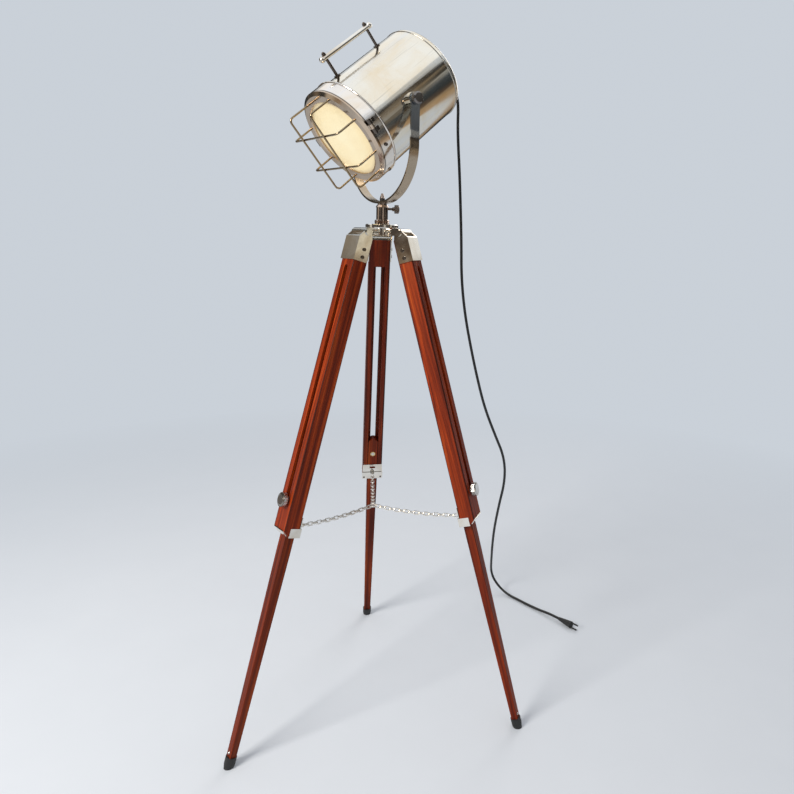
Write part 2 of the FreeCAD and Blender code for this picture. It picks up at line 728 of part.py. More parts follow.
def chain(side, leg):
    """Interlocked links that hang in a shallow curve from the ring to the leg's hook."""
    eye = leg.multVec(V(-hook_reach(), 0, -size("hook_height")))
    ring = ring_centre()
    level = V(eye.x - ring.x, eye.y - ring.y, 0)
    frame = FreeCAD.Placement(V(ring.x, ring.y, 0), FreeCAD.Rotation(V(1, 0, 0), level))
    start = V(size("ring_radius"), 0, ring.z)
    end = V(level.Length, 0, eye.z)
    span = end.x - start.x
    count = int(size("chain_links"))
    sag = size("chain_sag")

    def point(share):
        return V(start.x + span * share, 0,
                 start.z + (end.z - start.z - (1 - share) * 4 * sag) * share)

    steps = 10 * count
    arc = sum((point((k + 1) / steps) - point(k / steps)).Length for k in range(steps))
    eye_half = size("hook_eye_wire") / 2
    pitch = (arc + eye_half + size("ring_wire_radius") + size("chain_gap")) / count
    length = pitch + 2 * size("chain_wire") + size("chain_gap")
    first = length / 2 - size("chain_wire") - size("ring_wire_radius") - size("chain_gap")
    links = []
    for k in range(count):
        share = (first + k * pitch) / arc
        here = point(share)
        slope = point(share + 1 / steps) - point(share - 1 / steps)
        rise = math.degrees(math.atan2(slope.z, slope.x))
        roll = 90 if k % 2 == 0 else 0
        link = chain_link(length, size("chain_link_width"), size("chain_wire"))
        link.Placement = FreeCAD.Placement(here, FreeCAD.Rotation(Y_AXIS, -rise)
                                           * FreeCAD.Rotation(V(1, 0, 0), roll))
        links.append(link)
    from_shape("spreader_chain_" + side, Part.makeCompound(links), frame)


def hook_reach():
    """How far inward of the leg's middle the hook's eye bar lies."""
    plate = size("upper_depth") / 2 + 2 * size("ferrule_sheet")
    return plate + 2 * size("hook_eye_radius") - size("hook_eye_wire") * 5 / 6


def hook_eye():
    """Small eye standing off the ferrule's inner plate for the spreader chain."""
    plate = size("upper_depth") / 2 + 2 * size("ferrule_sheet")
    radius = size("hook_eye_radius")
    wire = size("hook_eye_wire")
    eye = octagon(radius, radius, wire).cut(octagon(radius - wire, radius - wire, 2 * wire))
    return eye.translated(V(wire / 3 - plate - radius, 0, -size("hook_height")))


def post():
    """Post tube on the hub disc, with its double lower collar and bright cone."""
    bore = "spigot_radius + running_clearance"
    tower = turned("post_tower", [
        (bore, "post_bottom"),
        ("post_wall", "post_bottom"),
        ("post_wall", "post_top"),
        ("post_radius", "post_top"),
        ("post_cone_radius", "post_end"),
        (bore, "post_end")])
    stem_hole = rod("post_stem_hole", "knob_stem_radius + running_clearance", "2 * post_radius",
                    "0", "0", "knob_height", along="x")
    subpart("post_body", carved("post_body", tower, stem_hole), tripod_axis)
    middle = "post_bottom + post_collar_height / 2"
    top = "post_bottom + post_collar_height"
    crest = "post_wall + post_collar_rise"
    collar = turned("collar_blank", [
        ("post_wall + running_clearance", "post_bottom"),
        ("post_wall + post_collar_rise / 2", "post_bottom"),
        (crest, "post_bottom + post_collar_rise / 2"),
        (crest, middle + " - post_collar_rise / 2"),
        ("post_wall + post_collar_rise / 2", middle),
        (crest, middle + " + post_collar_rise / 2"),
        (crest, top + " - post_collar_rise / 2"),
        ("post_wall + post_collar_rise / 2", top),
        ("post_wall + running_clearance", top)])
    subpart("post_collar", collar, tripod_axis)


def chain_ring():
    """Ring that the three spreader chains meet in."""
    from_shape("chain_ring", Part.makeTorus(size("ring_radius"), size("ring_wire_radius"),
                                            ring_centre()))


def post_thumbscrew():
    """Clamping screw with a necked knob that holds the yoke's spigot in the post."""
    start = "(spigot_radius + seat_gap)"
    neck_start = "(post_wall + knob_stem_length)"
    knob_start = "(post_wall + knob_stem_length + knob_neck_length)"
    stem = rod("post_stem", "knob_stem_radius", knob_start + " - " + start, start, "0",
               "knob_height", along="x")
    neck = cone("post_knob_neck", "knob_stem_radius + trim", "knob_neck_radius", "knob_neck_length",
                neck_start, "0", "knob_height", along="x")
    knob = rod("post_knob", "knob_radius", "knob_length", knob_start, "0", "knob_height", along="x")
    crown = cone("post_knob_crown", "knob_radius - trim / 2", "knob_radius - 2 * trim", "trim",
                 knob_start + " + knob_length", "0", "knob_height", along="x")
    subpart("post_thumbscrew", joined("post_thumbscrew", stem, neck, knob, crown), tripod_axis)


def yoke():
    """Bent flat strap that carries the head, with its spigot and acorn nut."""
    bend = rod("yoke_bend", "yoke_outer", "yoke_width", "-yoke_width / 2", "0", "yoke_centre_height",
               along="x")
    hollow = rod("yoke_hollow", "yoke_inner", "2 * yoke_width", "-yoke_width", "0",
                 "yoke_centre_height", along="x")
    above = box("yoke_above", "2 * yoke_width", "3 * yoke_outer", "2 * yoke_outer", "-yoke_width",
                "-1.5 * yoke_outer", "yoke_centre_height")
    arms = []
    for word, start in (("near", "yoke_inner"), ("far", "-yoke_outer")):
        arms.append(box("yoke_arm_" + word, "yoke_width", "yoke_sheet",
                        "pivot_height - yoke_centre_height", "-yoke_width / 2", start,
                        "yoke_centre_height"))
        arms.append(rod("yoke_eye_" + word, "yoke_width / 2", "yoke_sheet", "0", start,
                        "pivot_height", along="y"))
    pivot_bore = rod("yoke_pivot_bore", "yoke_stud_radius + running_clearance", "3 * yoke_outer",
                     "0", "-1.5 * yoke_outer", "pivot_height", along="y")
    neck_bore = rod("yoke_neck_bore", "yoke_neck_radius + running_clearance", "3 * yoke_sheet", "0",
                    "0", "yoke_bottom - yoke_sheet")
    strap = joined("yoke_blank", carved("yoke_bow", bend, hollow, above), *arms)
    subpart("yoke_strap", carved("yoke_strap", strap, pivot_bore, neck_bore), yoke_frame)

    foot = "yoke_bottom + yoke_sheet + seat_gap"
    pin = turned("spigot_pin", [
        ("0", "post_bottom + trim"),
        ("spigot_radius - trim", "post_bottom + trim"),
        ("spigot_radius", "post_bottom + 2 * trim"),
        ("spigot_radius", "yoke_bottom"),
        ("yoke_neck_radius", "yoke_bottom"),
        ("yoke_neck_radius", foot),
        ("0", foot)])
    flange = turned("spigot_flange", [
        ("spigot_radius + running_clearance", "post_end + seat_gap"),
        ("post_cone_radius - trim", "post_end + seat_gap"),
        ("post_cone_radius - trim", "yoke_bottom"),
        ("spigot_radius + running_clearance", "yoke_bottom")])
    subpart("yoke_spigot", joined("yoke_spigot", pin, flange), yoke_frame)

    hexagon = doc.addObject("Part::Prism", "finial_hexagon")
    hexagon.Polygon = 6
    bind(hexagon, Circumradius="finial_hex", Height="finial_hex_height", at_z=foot)
    dome = cone("finial_dome", "finial_hex - trim / 2", "finial_hex / 3", "finial_rise", "0", "0",
                foot + " + finial_hex_height")
    subpart("finial", joined("finial", hexagon, dome), yoke_frame)

    knob = [("yoke_stud_radius + running_clearance", "0"),
            ("tilt_knob_radius - trim", "0"),
            ("tilt_knob_radius", "trim"),
            ("tilt_knob_radius", "tilt_knob_thick - 2 * trim"),
            ("tilt_knob_radius - 2 * trim", "tilt_knob_thick"),
            ("0", "tilt_knob_thick"),
            ("0", "tilt_knob_thick - trim"),
            ("yoke_stud_radius + running_clearance", "tilt_knob_thick - trim")]
    reach = size("yoke_outer") + size("seat_gap")
    for word, sign in (("near", 1), ("far", -1)):
        lie = FreeCAD.Placement(V(0, sign * reach, size("pivot_height")),
                                FreeCAD.Rotation(V(1, 0, 0), -90 * sign))
        subpart("tilt_knob_" + word, turned("tilt_knob_" + word, knob), yoke_frame * lie)


def pivot_bosses():
    """Spacer bosses on the drum's sides, with the studs that turn in the yoke."""
    pieces = []
    face = "(yoke_inner - seat_gap)"
    boss = "(2 * boss_length)"
    stud = "(yoke_sheet + tilt_knob_thick - trim)"
    for word, boss_start, stud_start in (
            ("near", face + " - " + boss, face), ("far", "-" + face, "-" + face + " - " + stud)):
        pieces.append(rod("boss_" + word, "boss_radius", boss, boss_start, "0", "0", along="x"))
        pieces.append(rod("stud_" + word, "yoke_stud_radius", stud, stud_start, "0", "0", along="x"))
    drum = rod("boss_drum", "body_radius", "4 * boss_radius", "0", "0", "-2 * boss_radius")
    subpart("pivot_bosses", carved("pivot_bosses", joined("boss_blank", *pieces), drum), head_frame)


def drum():
    """Spun drum, with its beaded rear cap and front collar."""
    subpart("drum_shell", turned("drum_shell", [
        ("body_inner", "cap_front"),
        ("body_radius", "cap_front"),
        ("body_radius", "body_front"),
        ("body_inner", "body_front")]), head_frame)

    cap = turned("cap_dish", [
        ("0", "body_rear"),
        ("body_radius", "body_rear"),
        ("body_radius", "cap_front"),
        ("body_inner", "cap_front"),
        ("body_inner", "body_rear + body_wall"),
        ("0", "body_rear + body_wall")])

    def circle(edge, height, radius):
        close = size("body_wall") / 10
        return (abs(edge.CenterOfMass.z - height) < close
                and abs(edge.Length / math.tau - radius) < close)

    round_edges(cap, "rear_cap_round - body_wall", lambda edge: circle(
        edge, size("body_rear") + size("body_wall"), size("body_inner")))
    round_edges(cap, "rear_cap_round", lambda edge: circle(
        edge, size("body_rear"), size("body_radius")))
    bead = ring("cap_bead", "body_radius - rear_bead_radius / 4", "rear_bead_radius", "0", "0",
                "cap_front - rear_bead_radius")
    room = rod("cap_room", "body_inner", "rear_cap_length", "0", "0", "body_rear + rear_cap_round")
    subpart("rear_cap", joined("rear_cap", cap, carved("cap_bead_ring", bead, room)), head_frame)

    shell = turned("collar_shell", [
        ("body_radius + running_clearance", "collar_rear"),
        ("collar_radius", "collar_rear"),
        ("collar_radius", "collar_front"),
        ("collar_inner", "collar_front"),
        ("collar_inner", "collar_rear + collar_sheet"),
        ("body_radius + running_clearance", "collar_rear + collar_sheet")])
    bead = ring("collar_bead", "collar_radius - collar_bead_radius / 4", "collar_bead_radius", "0",
                "0", "collar_rear + collar_bead_radius")
    room = rod("collar_room", "collar_inner", "collar_length", "0", "0",
               "collar_rear - collar_length / 2")
    subpart("collar_band", joined("collar_band", shell, carved("collar_bead_ring", bead, room)),
            head_frame)


def optics():
    """Spun reflector, lamp socket and opal bulb inside the drum."""
    base = "(reflector_rim - reflector_depth)"
    spread = "(reflector_mouth - reflector_base)"
    steps = [(0, 0), (0.31, 0.07), (0.62, 0.25), (0.83, 0.56), (1, 1)]
    steps = [("reflector_base + %s * %s" % (wide, spread), str(deep)) for wide, deep in steps]
    front = [(radius, base + " + " + share + " * (reflector_depth - reflector_sheet)")
             for radius, share in steps]
    back = [(radius + " + reflector_sheet", base + " - reflector_sheet + " + share + " * reflector_depth")
            for radius, share in steps]
    back[-1] = ("reflector_mouth + reflector_sheet", "reflector_rim - reflector_sheet")
    corners = front[:-1] + [("reflector_mouth", "reflector_rim"), ("door_radius", "reflector_rim"),
                            ("door_radius", "reflector_rim - reflector_sheet")] + back[::-1]
    subpart("reflector", turned("reflector", corners), head_frame)

    seat = "(body_rear + body_wall)"
    mouth = "(" + seat + " + socket_length)"
    well = mouth + " - socket_well"
    subpart("lamp_socket", turned("lamp_socket", [
        ("0", seat),
        ("socket_radius + socket_flange", seat),
        ("socket_radius + socket_flange", seat + " + 2 * trim"),
        ("socket_radius", seat + " + 2 * trim"),
        ("socket_radius", mouth),
        ("bulb_neck_radius + running_clearance", mouth),
        ("bulb_neck_radius + running_clearance", well),
        ("0", well)]), head_frame)
    foot = "(" + well + " + trim)"
    middle = "(" + mouth + " + bulb_length - bulb_radius)"
    neck = rod("bulb_neck", "bulb_neck_radius", middle + " - " + foot, "0", "0", foot)
    shoulder = cone("bulb_shoulder", "bulb_neck_radius", "bulb_radius * 0.9", "bulb_radius", "0", "0",
                    middle + " - bulb_radius * 1.4")
    globe = ball("bulb_globe", "bulb_radius", "0", "0", middle)
    subpart("bulb", joined("bulb", neck, shoulder, globe), head_frame)


def front_door():
    """Hinged bezel with its glass, wire guard and latch tab."""
    gap = "(collar_front + seat_gap)"
    bezel = turned("bezel_rim", [
        ("bezel_inner", "bezel_rear"),
        ("door_radius - collar_sheet", "bezel_rear"),
        ("door_radius - collar_sheet", "collar_front - door_skirt"),
        ("door_radius", "collar_front - door_skirt"),
        ("door_radius", gap),
        ("collar_radius", gap),
        ("collar_radius", "bezel_lip"),
        ("collar_radius - bezel_slope", "bezel_front"),
        ("bezel_inner + bezel_slope / 2", "bezel_front"),
        ("bezel_inner", "bezel_front - trim")])
    knuckle = rod("door_knuckle", "knuckle_radius", "knuckle_length", "door_hinge_reach",
                  "door_hinge_rise - knuckle_length / 2", "door_hinge_place", along="y")
    tab = box("door_tab", "door_hinge_standoff - seat_gap", "knuckle_length",
              "bezel_lip - door_hinge_place", "collar_radius + seat_gap",
              "door_hinge_rise - knuckle_length / 2", "door_hinge_place")
    root = box("door_tab_root", "door_hinge_standoff", "knuckle_length",
               "bezel_lip - collar_front - 2 * seat_gap", "collar_radius - trim",
               "door_hinge_rise - knuckle_length / 2", "collar_front + 2 * seat_gap")
    bore = rod("door_bore", "door_pin_radius + running_clearance", "3 * knuckle_length",
               "door_hinge_reach",
               "door_hinge_rise - 1.5 * knuckle_length", "door_hinge_place", along="y")
    subpart("bezel_ring", carved("bezel_ring", joined("bezel_blank", bezel, knuckle, tab, root), bore),
            head_frame)

    rim = "door_radius - collar_sheet - seat_gap"
    subpart("glass_lens", turned("glass_lens", [
        ("0", "bezel_rear - glass_thick"),
        (rim, "bezel_rear - glass_thick"),
        (rim, "bezel_rear"),
        ("0", "bezel_rear")]), head_frame)

    outside = "-collar_radius - trim - 2 * seat_gap"
    latch = box("latch_tongue", "trim", "latch_width", "latch_length", outside, "-latch_width / 2",
                "bezel_lip - latch_length")
    ear = box("latch_ear", "bezel_slope + 2 * trim", "latch_width", "trim", outside,
              "-latch_width / 2", "bezel_lip")
    button = rod("latch_button", "latch_width / 3", "3 * trim", outside + " - 2 * trim",
                 "0", "bezel_lip - latch_length / 2", along="x")
    rim_space = cone("latch_rim", "collar_radius", "collar_radius - bezel_slope", "bezel_bevel",
                     "0", "0", "bezel_lip")
    subpart("door_latch", carved("door_latch", joined("latch_blank", latch, ear, button), rim_space),
            head_frame)


def door_hinge():
    """Fixed knuckles on the collar, with the door's hinge pin."""
    pieces = []
    for word, start in (("low", "door_hinge_rise - 1.5 * knuckle_length"),
                        ("high", "door_hinge_rise + knuckle_length / 2 + seat_gap")):
        length = "knuckle_length - seat_gap"
        pieces.append(rod("fixed_knuckle_" + word, "knuckle_radius", length, "door_hinge_reach",
                          start, "door_hinge_place", along="y"))
        pieces.append(box("fixed_leaf_" + word, "2 * door_hinge_standoff", length,
                          "2 * door_hinge_standoff", "door_hinge_reach - 2 * door_hinge_standoff",
                          start, "door_hinge_place - 2 * door_hinge_standoff"))
    space = rod("leaf_space", "collar_radius", "6 * door_hinge_standoff", "0", "0",
                "door_hinge_place - 3 * door_hinge_standoff")
    bore = rod("fixed_bore", "door_pin_radius + running_clearance", "6 * knuckle_length",
               "door_hinge_reach", "door_hinge_rise - 3 * knuckle_length", "door_hinge_place",
               along="y")
    knuckles = carved("fixed_knuckles", joined("fixed_blank", *pieces), space, bore)
    length = "(3 * knuckle_length + 2 * seat_gap)"
    pin = rod("door_pin_shank", "door_pin_radius", length, "door_hinge_reach",
              "door_hinge_rise - " + length + " / 2", "door_hinge_place", along="y")
    heads = [rod("door_pin_head_" + word, "door_pin_radius + trim", "trim", "door_hinge_reach",
                 "door_hinge_rise + " + start, "door_hinge_place", along="y")
             for word, start in (("low", "-" + length + " / 2 - trim"), ("high", length + " / 2"))]
    pin = joined("door_pin", pin, *heads)
    subpart("door_hinge", joined("door_hinge", knuckles, pin), head_frame)


def guard_wire(across, turned_wire):
    """One wire of the guard: out from the bezel, across the front and back."""
    reach = math.sqrt(size("guard_ring_radius") ** 2 - across ** 2)
    foot = size("bezel_front")
    front = size("guard_front") - (size("guard_cross_drop") if turned_wire else 0)
    corners = [V(across, -reach, foot), V(across, -reach, front),
               V(across, reach, front), V(across, reach, foot)]
    if turned_wire:
        corners = [V(corner.y, corner.x, corner.z) for corner in corners]
    return tube(corners, size("guard_wire_radius"), size("guard_bend"))[0]


def guard():
    """Wire guard: two upright and two level wires, welded where they cross."""
    wires = [guard_wire(sign * size(alias), level)
             for alias, level in (("guard_vertical_spread", False), ("guard_cross_spread", True))
             for sign in (-1, 1)]
    from_shape("guard_cage", wires[0].fuse(wires[1:]), head_frame)


def handle():
    """Carrying handle: two posts, a round grip bar with ball ends, and acorn nuts."""
    places = ("handle_front", "handle_rear")
    posts = []
    holes = []
    nuts = []
    for place in places:
        top = "handle_height + grip_radius"
        posts.append(rod(place + "_post", "handle_post_radius",
                         top + " - body_radius + handle_root", "0", "body_radius - handle_root",
                         place, along="y"))
        posts.append(rod(place + "_base", "2.2 * handle_post_radius", "1.5 * handle_root", "0",
                         "body_radius - handle_root", place, along="y"))
        holes.append(rod(place + "_hole", "handle_post_radius + running_clearance", "4 * grip_radius",
                         "0", "handle_height - 2 * grip_radius", place, along="y"))
        nuts.append(rod(place + "_nut", "1.4 * handle_post_radius", "nut_height", "0", top, place,
                        along="y"))
        nuts.append(ball(place + "_dome", "handle_post_radius", "0", top + " + nut_height", place))
    drum_space = rod("handle_drum", "body_radius", "2 * body_radius", "0", "0", "-body_radius")
    subpart("handle_posts", carved("handle_posts", joined("post_pair", *posts), drum_space),
            head_frame)
    start = "handle_rear - grip_overhang"
    bar = rod("grip_rod", "grip_radius", "handle_front - handle_rear + 2 * grip_overhang", "0",
              "handle_height", start)
    ends = [ball("grip_end_rear", "grip_ball_radius", "0", "handle_height", start),
            ball("grip_end_front", "grip_ball_radius", "0", "handle_height",
                 "handle_front + grip_overhang")]
    subpart("grip_bar", carved("grip_bar", joined("grip_blank", bar, *ends), *holes), head_frame)
    subpart("handle_nuts", joined("handle_nuts", *nuts), head_frame)


def cord_gland():
    """Strain relief on the rear cap that the cord leaves through."""
    nut = doc.addObject("Part::Prism", "gland_nut")
    nut.Polygon = 6
    bind(nut, Circumradius="gland_radius", Height="gland_nut")
    sleeve = cone("gland_sleeve", "gland_radius * 0.75", "cord_diameter / 2 + trim / 2",
                  "gland_reach - gland_nut", "0", "0", "gland_nut")
    back = FreeCAD.Placement(V(size("gland_side"), -size("gland_drop"), size("body_rear")),
                             FreeCAD.Rotation(V(1, 0, 0), 180))
    subpart("cord_gland", joined("cord_gland", nut, sleeve), head_frame * back)


# The cord's route from the gland to the plug, about the tripod's axis on the floor
CORD_ROUTE = [
    (142, 112, 1372), (158, 121, 1369), (171, 128, 1357), (178, 132, 1341), (180, 132, 1318),
    (180, 133, 1286), (182, 133, 1242),
    (187, 135, 1184), (192, 137, 1106), (197, 139, 1019), (200, 142, 930), (212, 147, 842),
    (231, 153, 757), (251, 161, 680), (274, 171, 604), (306, 182, 530), (336, 196, 466),
    (345, 214, 398), (338, 242, 320), (336, 277, 240), (342, 316, 168), (349, 347, 120),
    (354, 368, 90), (358, 382, 69), (363, 386, 50), (371, 383, 33), (382, 375, 19),
    (394, 363, 9), (407, 346, 4), (424, 321, 4), (446, 286, 4), (470, 252, 5),
    (488, 224, 9.3), (505, 197, 9.3)]


def cord():
    """Power cord: out of the gland, hanging to the floor and along it to its plug."""
    exit_point = head_frame.multVec(V(size("gland_side"), -size("gland_drop"),
                                      size("body_rear") - size("gland_reach")))
    back = head_frame.Rotation.multVec(V(0, 0, -1))
    points = [exit_point, exit_point + back * size("gland_reach")]
    points += [tripod_axis.multVec(V(*point)) for point in CORD_ROUTE]
    line, length, curves = tube(points, size("cord_diameter") / 2)
    section = math.pi * (size("cord_diameter") / 2) ** 2
    print("cord length", round(length, 1), "volume share", round(line.Volume / (section * length), 4))
    print("cord radii", [round(curve) for curve in curves])
    from_shape("power_cord", line)

    # Two-pin plug lying on the floor, its grip tapering to the cord
    ahead = points[-1] - points[-2]
    lie = FreeCAD.Placement(points[-1], FreeCAD.Rotation(Z_AXIS, ahead))
    grip = Part.makeLoft([
        Part.Wire(Part.makeCircle(size("cord_diameter") / 2 + size("trim") / 2)),
        Part.Wire(Part.makeCircle(size("plug_radius") * 0.75, V(0, 0, size("plug_length") * 0.5))),
        Part.Wire(Part.makeCircle(size("plug_radius"), V(0, 0, size("plug_length"))))], True, True)
    pins = [Part.makeCylinder(size("plug_pin_radius"), size("plug_pin_length"),
                              V(0, sign * size("plug_pin_spread"), size("plug_length")))
            for sign in (-1, 1)]
    from_shape("power_plug", grip.fuse(pins), lie)


hub()
for side, azimuth in LEGS.items():
    frame = leg_frame(azimuth)
    hinge_pin(side, frame)
    leg_bracket(side, frame)
    bracket_screws(side, frame)
    upper_leg(side, frame)
    ferrule(side, frame)
    lower_leg(side, frame)
    thread_insert(side, frame)
    leg_thumbscrew(side, frame)
    rubber_foot(side, frame)
    chain(side, frame)
chain_ring()
post()
post_thumbscrew()
yoke()
pivot_bosses()
drum()
optics()
front_door()
door_hinge()
guard()
handle()
cord_gland()
cord()

doc.recompute()
os.makedirs("parts", exist_ok=True)
for item in doc.Objects:
    if "Invalid" in item.State or "Error" in item.State:
        raise RuntimeError("failed: " + item.Name)
for name, item in SUBPARTS:
    if item.Shape.isNull() or not item.Shape.isValid():
        raise RuntimeError("bad shape: " + name)
    item.Shape.exportStep("parts/%s.step" % name)
    print(name, len(item.Shape.Solids), round(item.Shape.Volume / 1000, 2))
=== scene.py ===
import json
import math

import bmesh
import bpy
from mathutils import Matrix, Vector


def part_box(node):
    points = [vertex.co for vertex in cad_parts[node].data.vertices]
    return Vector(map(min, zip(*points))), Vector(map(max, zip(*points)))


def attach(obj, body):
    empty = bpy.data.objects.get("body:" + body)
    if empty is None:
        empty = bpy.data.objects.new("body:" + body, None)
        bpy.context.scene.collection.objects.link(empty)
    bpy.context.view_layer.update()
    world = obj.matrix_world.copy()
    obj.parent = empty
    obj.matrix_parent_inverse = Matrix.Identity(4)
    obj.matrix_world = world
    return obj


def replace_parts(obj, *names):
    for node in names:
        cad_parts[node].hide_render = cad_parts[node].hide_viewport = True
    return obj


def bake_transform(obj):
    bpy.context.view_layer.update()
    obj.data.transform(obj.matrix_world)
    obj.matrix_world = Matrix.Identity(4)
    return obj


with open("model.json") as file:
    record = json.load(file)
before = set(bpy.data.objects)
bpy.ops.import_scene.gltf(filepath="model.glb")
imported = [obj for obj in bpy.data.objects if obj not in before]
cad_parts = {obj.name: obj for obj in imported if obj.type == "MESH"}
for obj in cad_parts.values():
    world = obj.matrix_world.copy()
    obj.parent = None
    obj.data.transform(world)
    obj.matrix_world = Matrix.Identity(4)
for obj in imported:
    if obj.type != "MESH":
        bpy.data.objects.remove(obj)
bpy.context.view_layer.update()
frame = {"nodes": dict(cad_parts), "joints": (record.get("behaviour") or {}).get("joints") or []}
JOINTS = {joint["name"]: joint for joint in frame["joints"]}
NODES = frame["nodes"]
SIDES = ("rear", "left", "right")

# Axes that the materials and pieces stand in, read from the frame's joints
PIVOT = Vector(JOINTS["head_tilt"]["pos_m"])
HEAD_SIDE = Vector(JOINTS["head_tilt"]["axis"]).normalized()
HEAD_UP = Vector(JOINTS["door_swing"]["axis"]).normalized()
HEAD_AHEAD = HEAD_SIDE.cross(HEAD_UP)
HEAD_AXES = (PIVOT, HEAD_SIDE, HEAD_UP, HEAD_AHEAD)
AXIS = Vector(JOINTS["yoke_pan"]["pos_m"])
UPWARD = Vector((0, 0, 1))


def leg_axes(side):
    """Hinge point, outward, pin and upward axes of a leg."""
    fold = JOINTS["leg_fold_" + side]
    up = Vector(JOINTS["leg_slide_" + side]["axis"]).normalized()
    pin = Vector(fold["axis"]).normalized()
    return Vector(fold["pos_m"]), pin.cross(up), pin, up


def span(piece, axis, origin, keep=None):
    """Lowest and highest distance of a node's points along an axis, of those that keep allows."""
    places = [vertex.co - origin for vertex in NODES[piece].data.vertices]
    values = [place.dot(axis) for place in places if keep is None or keep(place)]
    return min(values), max(values)


def add_object(name, data):
    piece = bpy.data.objects.new(name, data)
    bpy.context.scene.collection.objects.link(piece)
    return piece


# ---------------------------------------------------------------- node materials

class Shader:
    """One material, with short calls that add and join its nodes."""

    def __init__(self, name):
        self.material = bpy.data.materials.new(name)
        self.material.use_nodes = True
        self.tree = self.material.node_tree
        self.tree.nodes.clear()
        self.out = self.add("ShaderNodeOutputMaterial")
        self.main = self.add("ShaderNodeBsdfPrincipled")
        self.link(self.main.outputs["BSDF"], self.out.inputs["Surface"])
        self.place = self.add("ShaderNodeTexCoord").outputs["Object"]

    def add(self, kind, **values):
        node = self.tree.nodes.new(kind)
        for name, value in values.items():
            setattr(node, name, value)
        return node

    def link(self, start, end):
        self.tree.links.new(start, end)

    def put(self, node, name, value):
        """Give an input a number, a vector, a colour or another node's output."""
        socket = node.inputs[name]
        if isinstance(value, bpy.types.NodeSocket):
            self.link(value, socket)
        elif socket.type == "RGBA":
            socket.default_value = (*value, 1.0)
        else:
            socket.default_value = value

    def math(self, kind, first, second=0.0):
        node = self.add("ShaderNodeMath", operation=kind)
        self.put(node, 0, first)
        self.put(node, 1, second)
        return node.outputs[0]

    def plus(self, value, other, share):
        """A value with a share of another one added to it."""
        return self.math("ADD", value, self.math("MULTIPLY", other, share))

    def apart(self, value, middle):
        """Distance of a value from a middle, whichever side it lies on."""
        return self.math("ABSOLUTE", self.math("SUBTRACT", value, middle))

    def along(self, axis, origin):
        """Distance of the surface point from an origin along an axis, in metres."""
        node = self.add("ShaderNodeVectorMath", operation="DOT_PRODUCT")
        self.put(node, 0, self.place)
        self.put(node, 1, axis)
        return self.math("SUBTRACT", node.outputs["Value"], axis.dot(origin))

    def noise(self, vector, scale, detail=4.0, rough=0.55, twist=0.0):
        node = self.add("ShaderNodeTexNoise")
        self.put(node, "Vector", vector)
        self.put(node, "Scale", scale)
        self.put(node, "Detail", detail)
        self.put(node, "Roughness", rough)
        self.put(node, "Distortion", twist)
        return node.outputs["Fac"]

    def grain(self, axes, scales, detail, rough=0.55, twist=0.0):
        """Noise that is drawn out in a frame of its own: an origin and three axes, a scale each."""
        origin, *directions = axes
        point = self.add("ShaderNodeCombineXYZ")
        for index, (axis, scale) in enumerate(zip(directions, scales)):
            self.put(point, index, self.math("MULTIPLY", self.along(axis, origin), scale))
        return self.noise(point.outputs[0], 1.0, detail, rough, twist)

    def ramp(self, factor, stops, smooth=False):
        node = self.add("ShaderNodeValToRGB")
        self.put(node, "Fac", factor)
        if smooth:
            node.color_ramp.interpolation = "EASE"
        elements = node.color_ramp.elements
        while len(elements) > 1:
            elements.remove(elements[-1])
        for index, (position, colour) in enumerate(stops):
            element = elements[0] if index == 0 else elements.new(position)
            element.position = position
            element.color = (*colour, 1.0)
        return node.outputs["Color"]

    def mix(self, factor, first, second):
        node = self.add("ShaderNodeMix", data_type="RGBA")
        self.put(node, "Factor", factor)
        self.put(node, 6, first)
        self.put(node, 7, second)
        return node.outputs[2]

    def remap(self, value, before, after):
        """Carry a value from one span to another, held at both ends."""
        node = self.add("ShaderNodeMapRange")
        self.put(node, "Value", value)
        for name, limit in zip(("From Min", "From Max", "To Min", "To Max"), (*before, *after)):
            self.put(node, name, limit)
        return node.outputs["Result"]

    def cover(self, value, start, full, share=1.0):
        """Share of a second colour: none where the value is at start, all of it at full."""
        return self.remap(value, (start, full), (0.0, share))

    def bump(self, height, strength, distance):
        node = self.add("ShaderNodeBump")
        self.put(node, "Strength", strength)
        self.put(node, "Distance", distance)
        self.put(node, "Height", height)
        self.link(node.outputs["Normal"], self.main.inputs["Normal"])

    def finish(self, **values):
        for name, value in values.items():
            self.put(self.main, name.replace("_", " "), value)
        return self.material


# Where the values of a noise mostly lie, and their middle
SPREAD = (0.3, 0.7)
MIDDLE = 0.5
# Second tones of the surfaces, as shares of the first: tarnish on small parts and on the drum
TARNISHED = (0.78, 0.70, 0.60)
DRUM_TARNISHED = (0.93, 0.80, 0.62)
# The drum's cool streaks and its fine brush marks
DRUM_COOLED = (0.88, 0.95, 1.10)
DRUM_BRUSHED = 0.55
# Worn patches of a knob and the painted shade in its grooves, dark grain of the wood, dust on
# rubber, mottling
KNOB_WORN = 0.72
KNOB_GROOVE_SHADE = 0.3
WOOD_GRAIN = 0.25
RUBBER_DUST = 2.6
MOTTLED = 0.8
SEAM_DIRT = (0.050, 0.036, 0.026)

# In metres: height where the yoke's straight arms meet its bend, how far above and below that
# its painted reflections change, and how far the change drifts up and down
STRAP_BEND_TOP = 1.224
STRAP_CHANGE = 0.05
STRAP_DRIFT = 0.02
# Painted reflections on the strap from the bend upward: brown, a dark edge, a bright highlight
# patch, blue-grey
STRAP_REFLECTION_TONES = ((0.0, (0.46, 0.37, 0.27)), (0.34, (0.40, 0.31, 0.22)), (0.42, (0.16, 0.13, 0.11)),
               (0.47, (0.88, 0.88, 0.87)), (0.53, (0.88, 0.89, 0.90)), (0.58, (0.34, 0.37, 0.41)),
               (1.0, (0.36, 0.40, 0.44)))

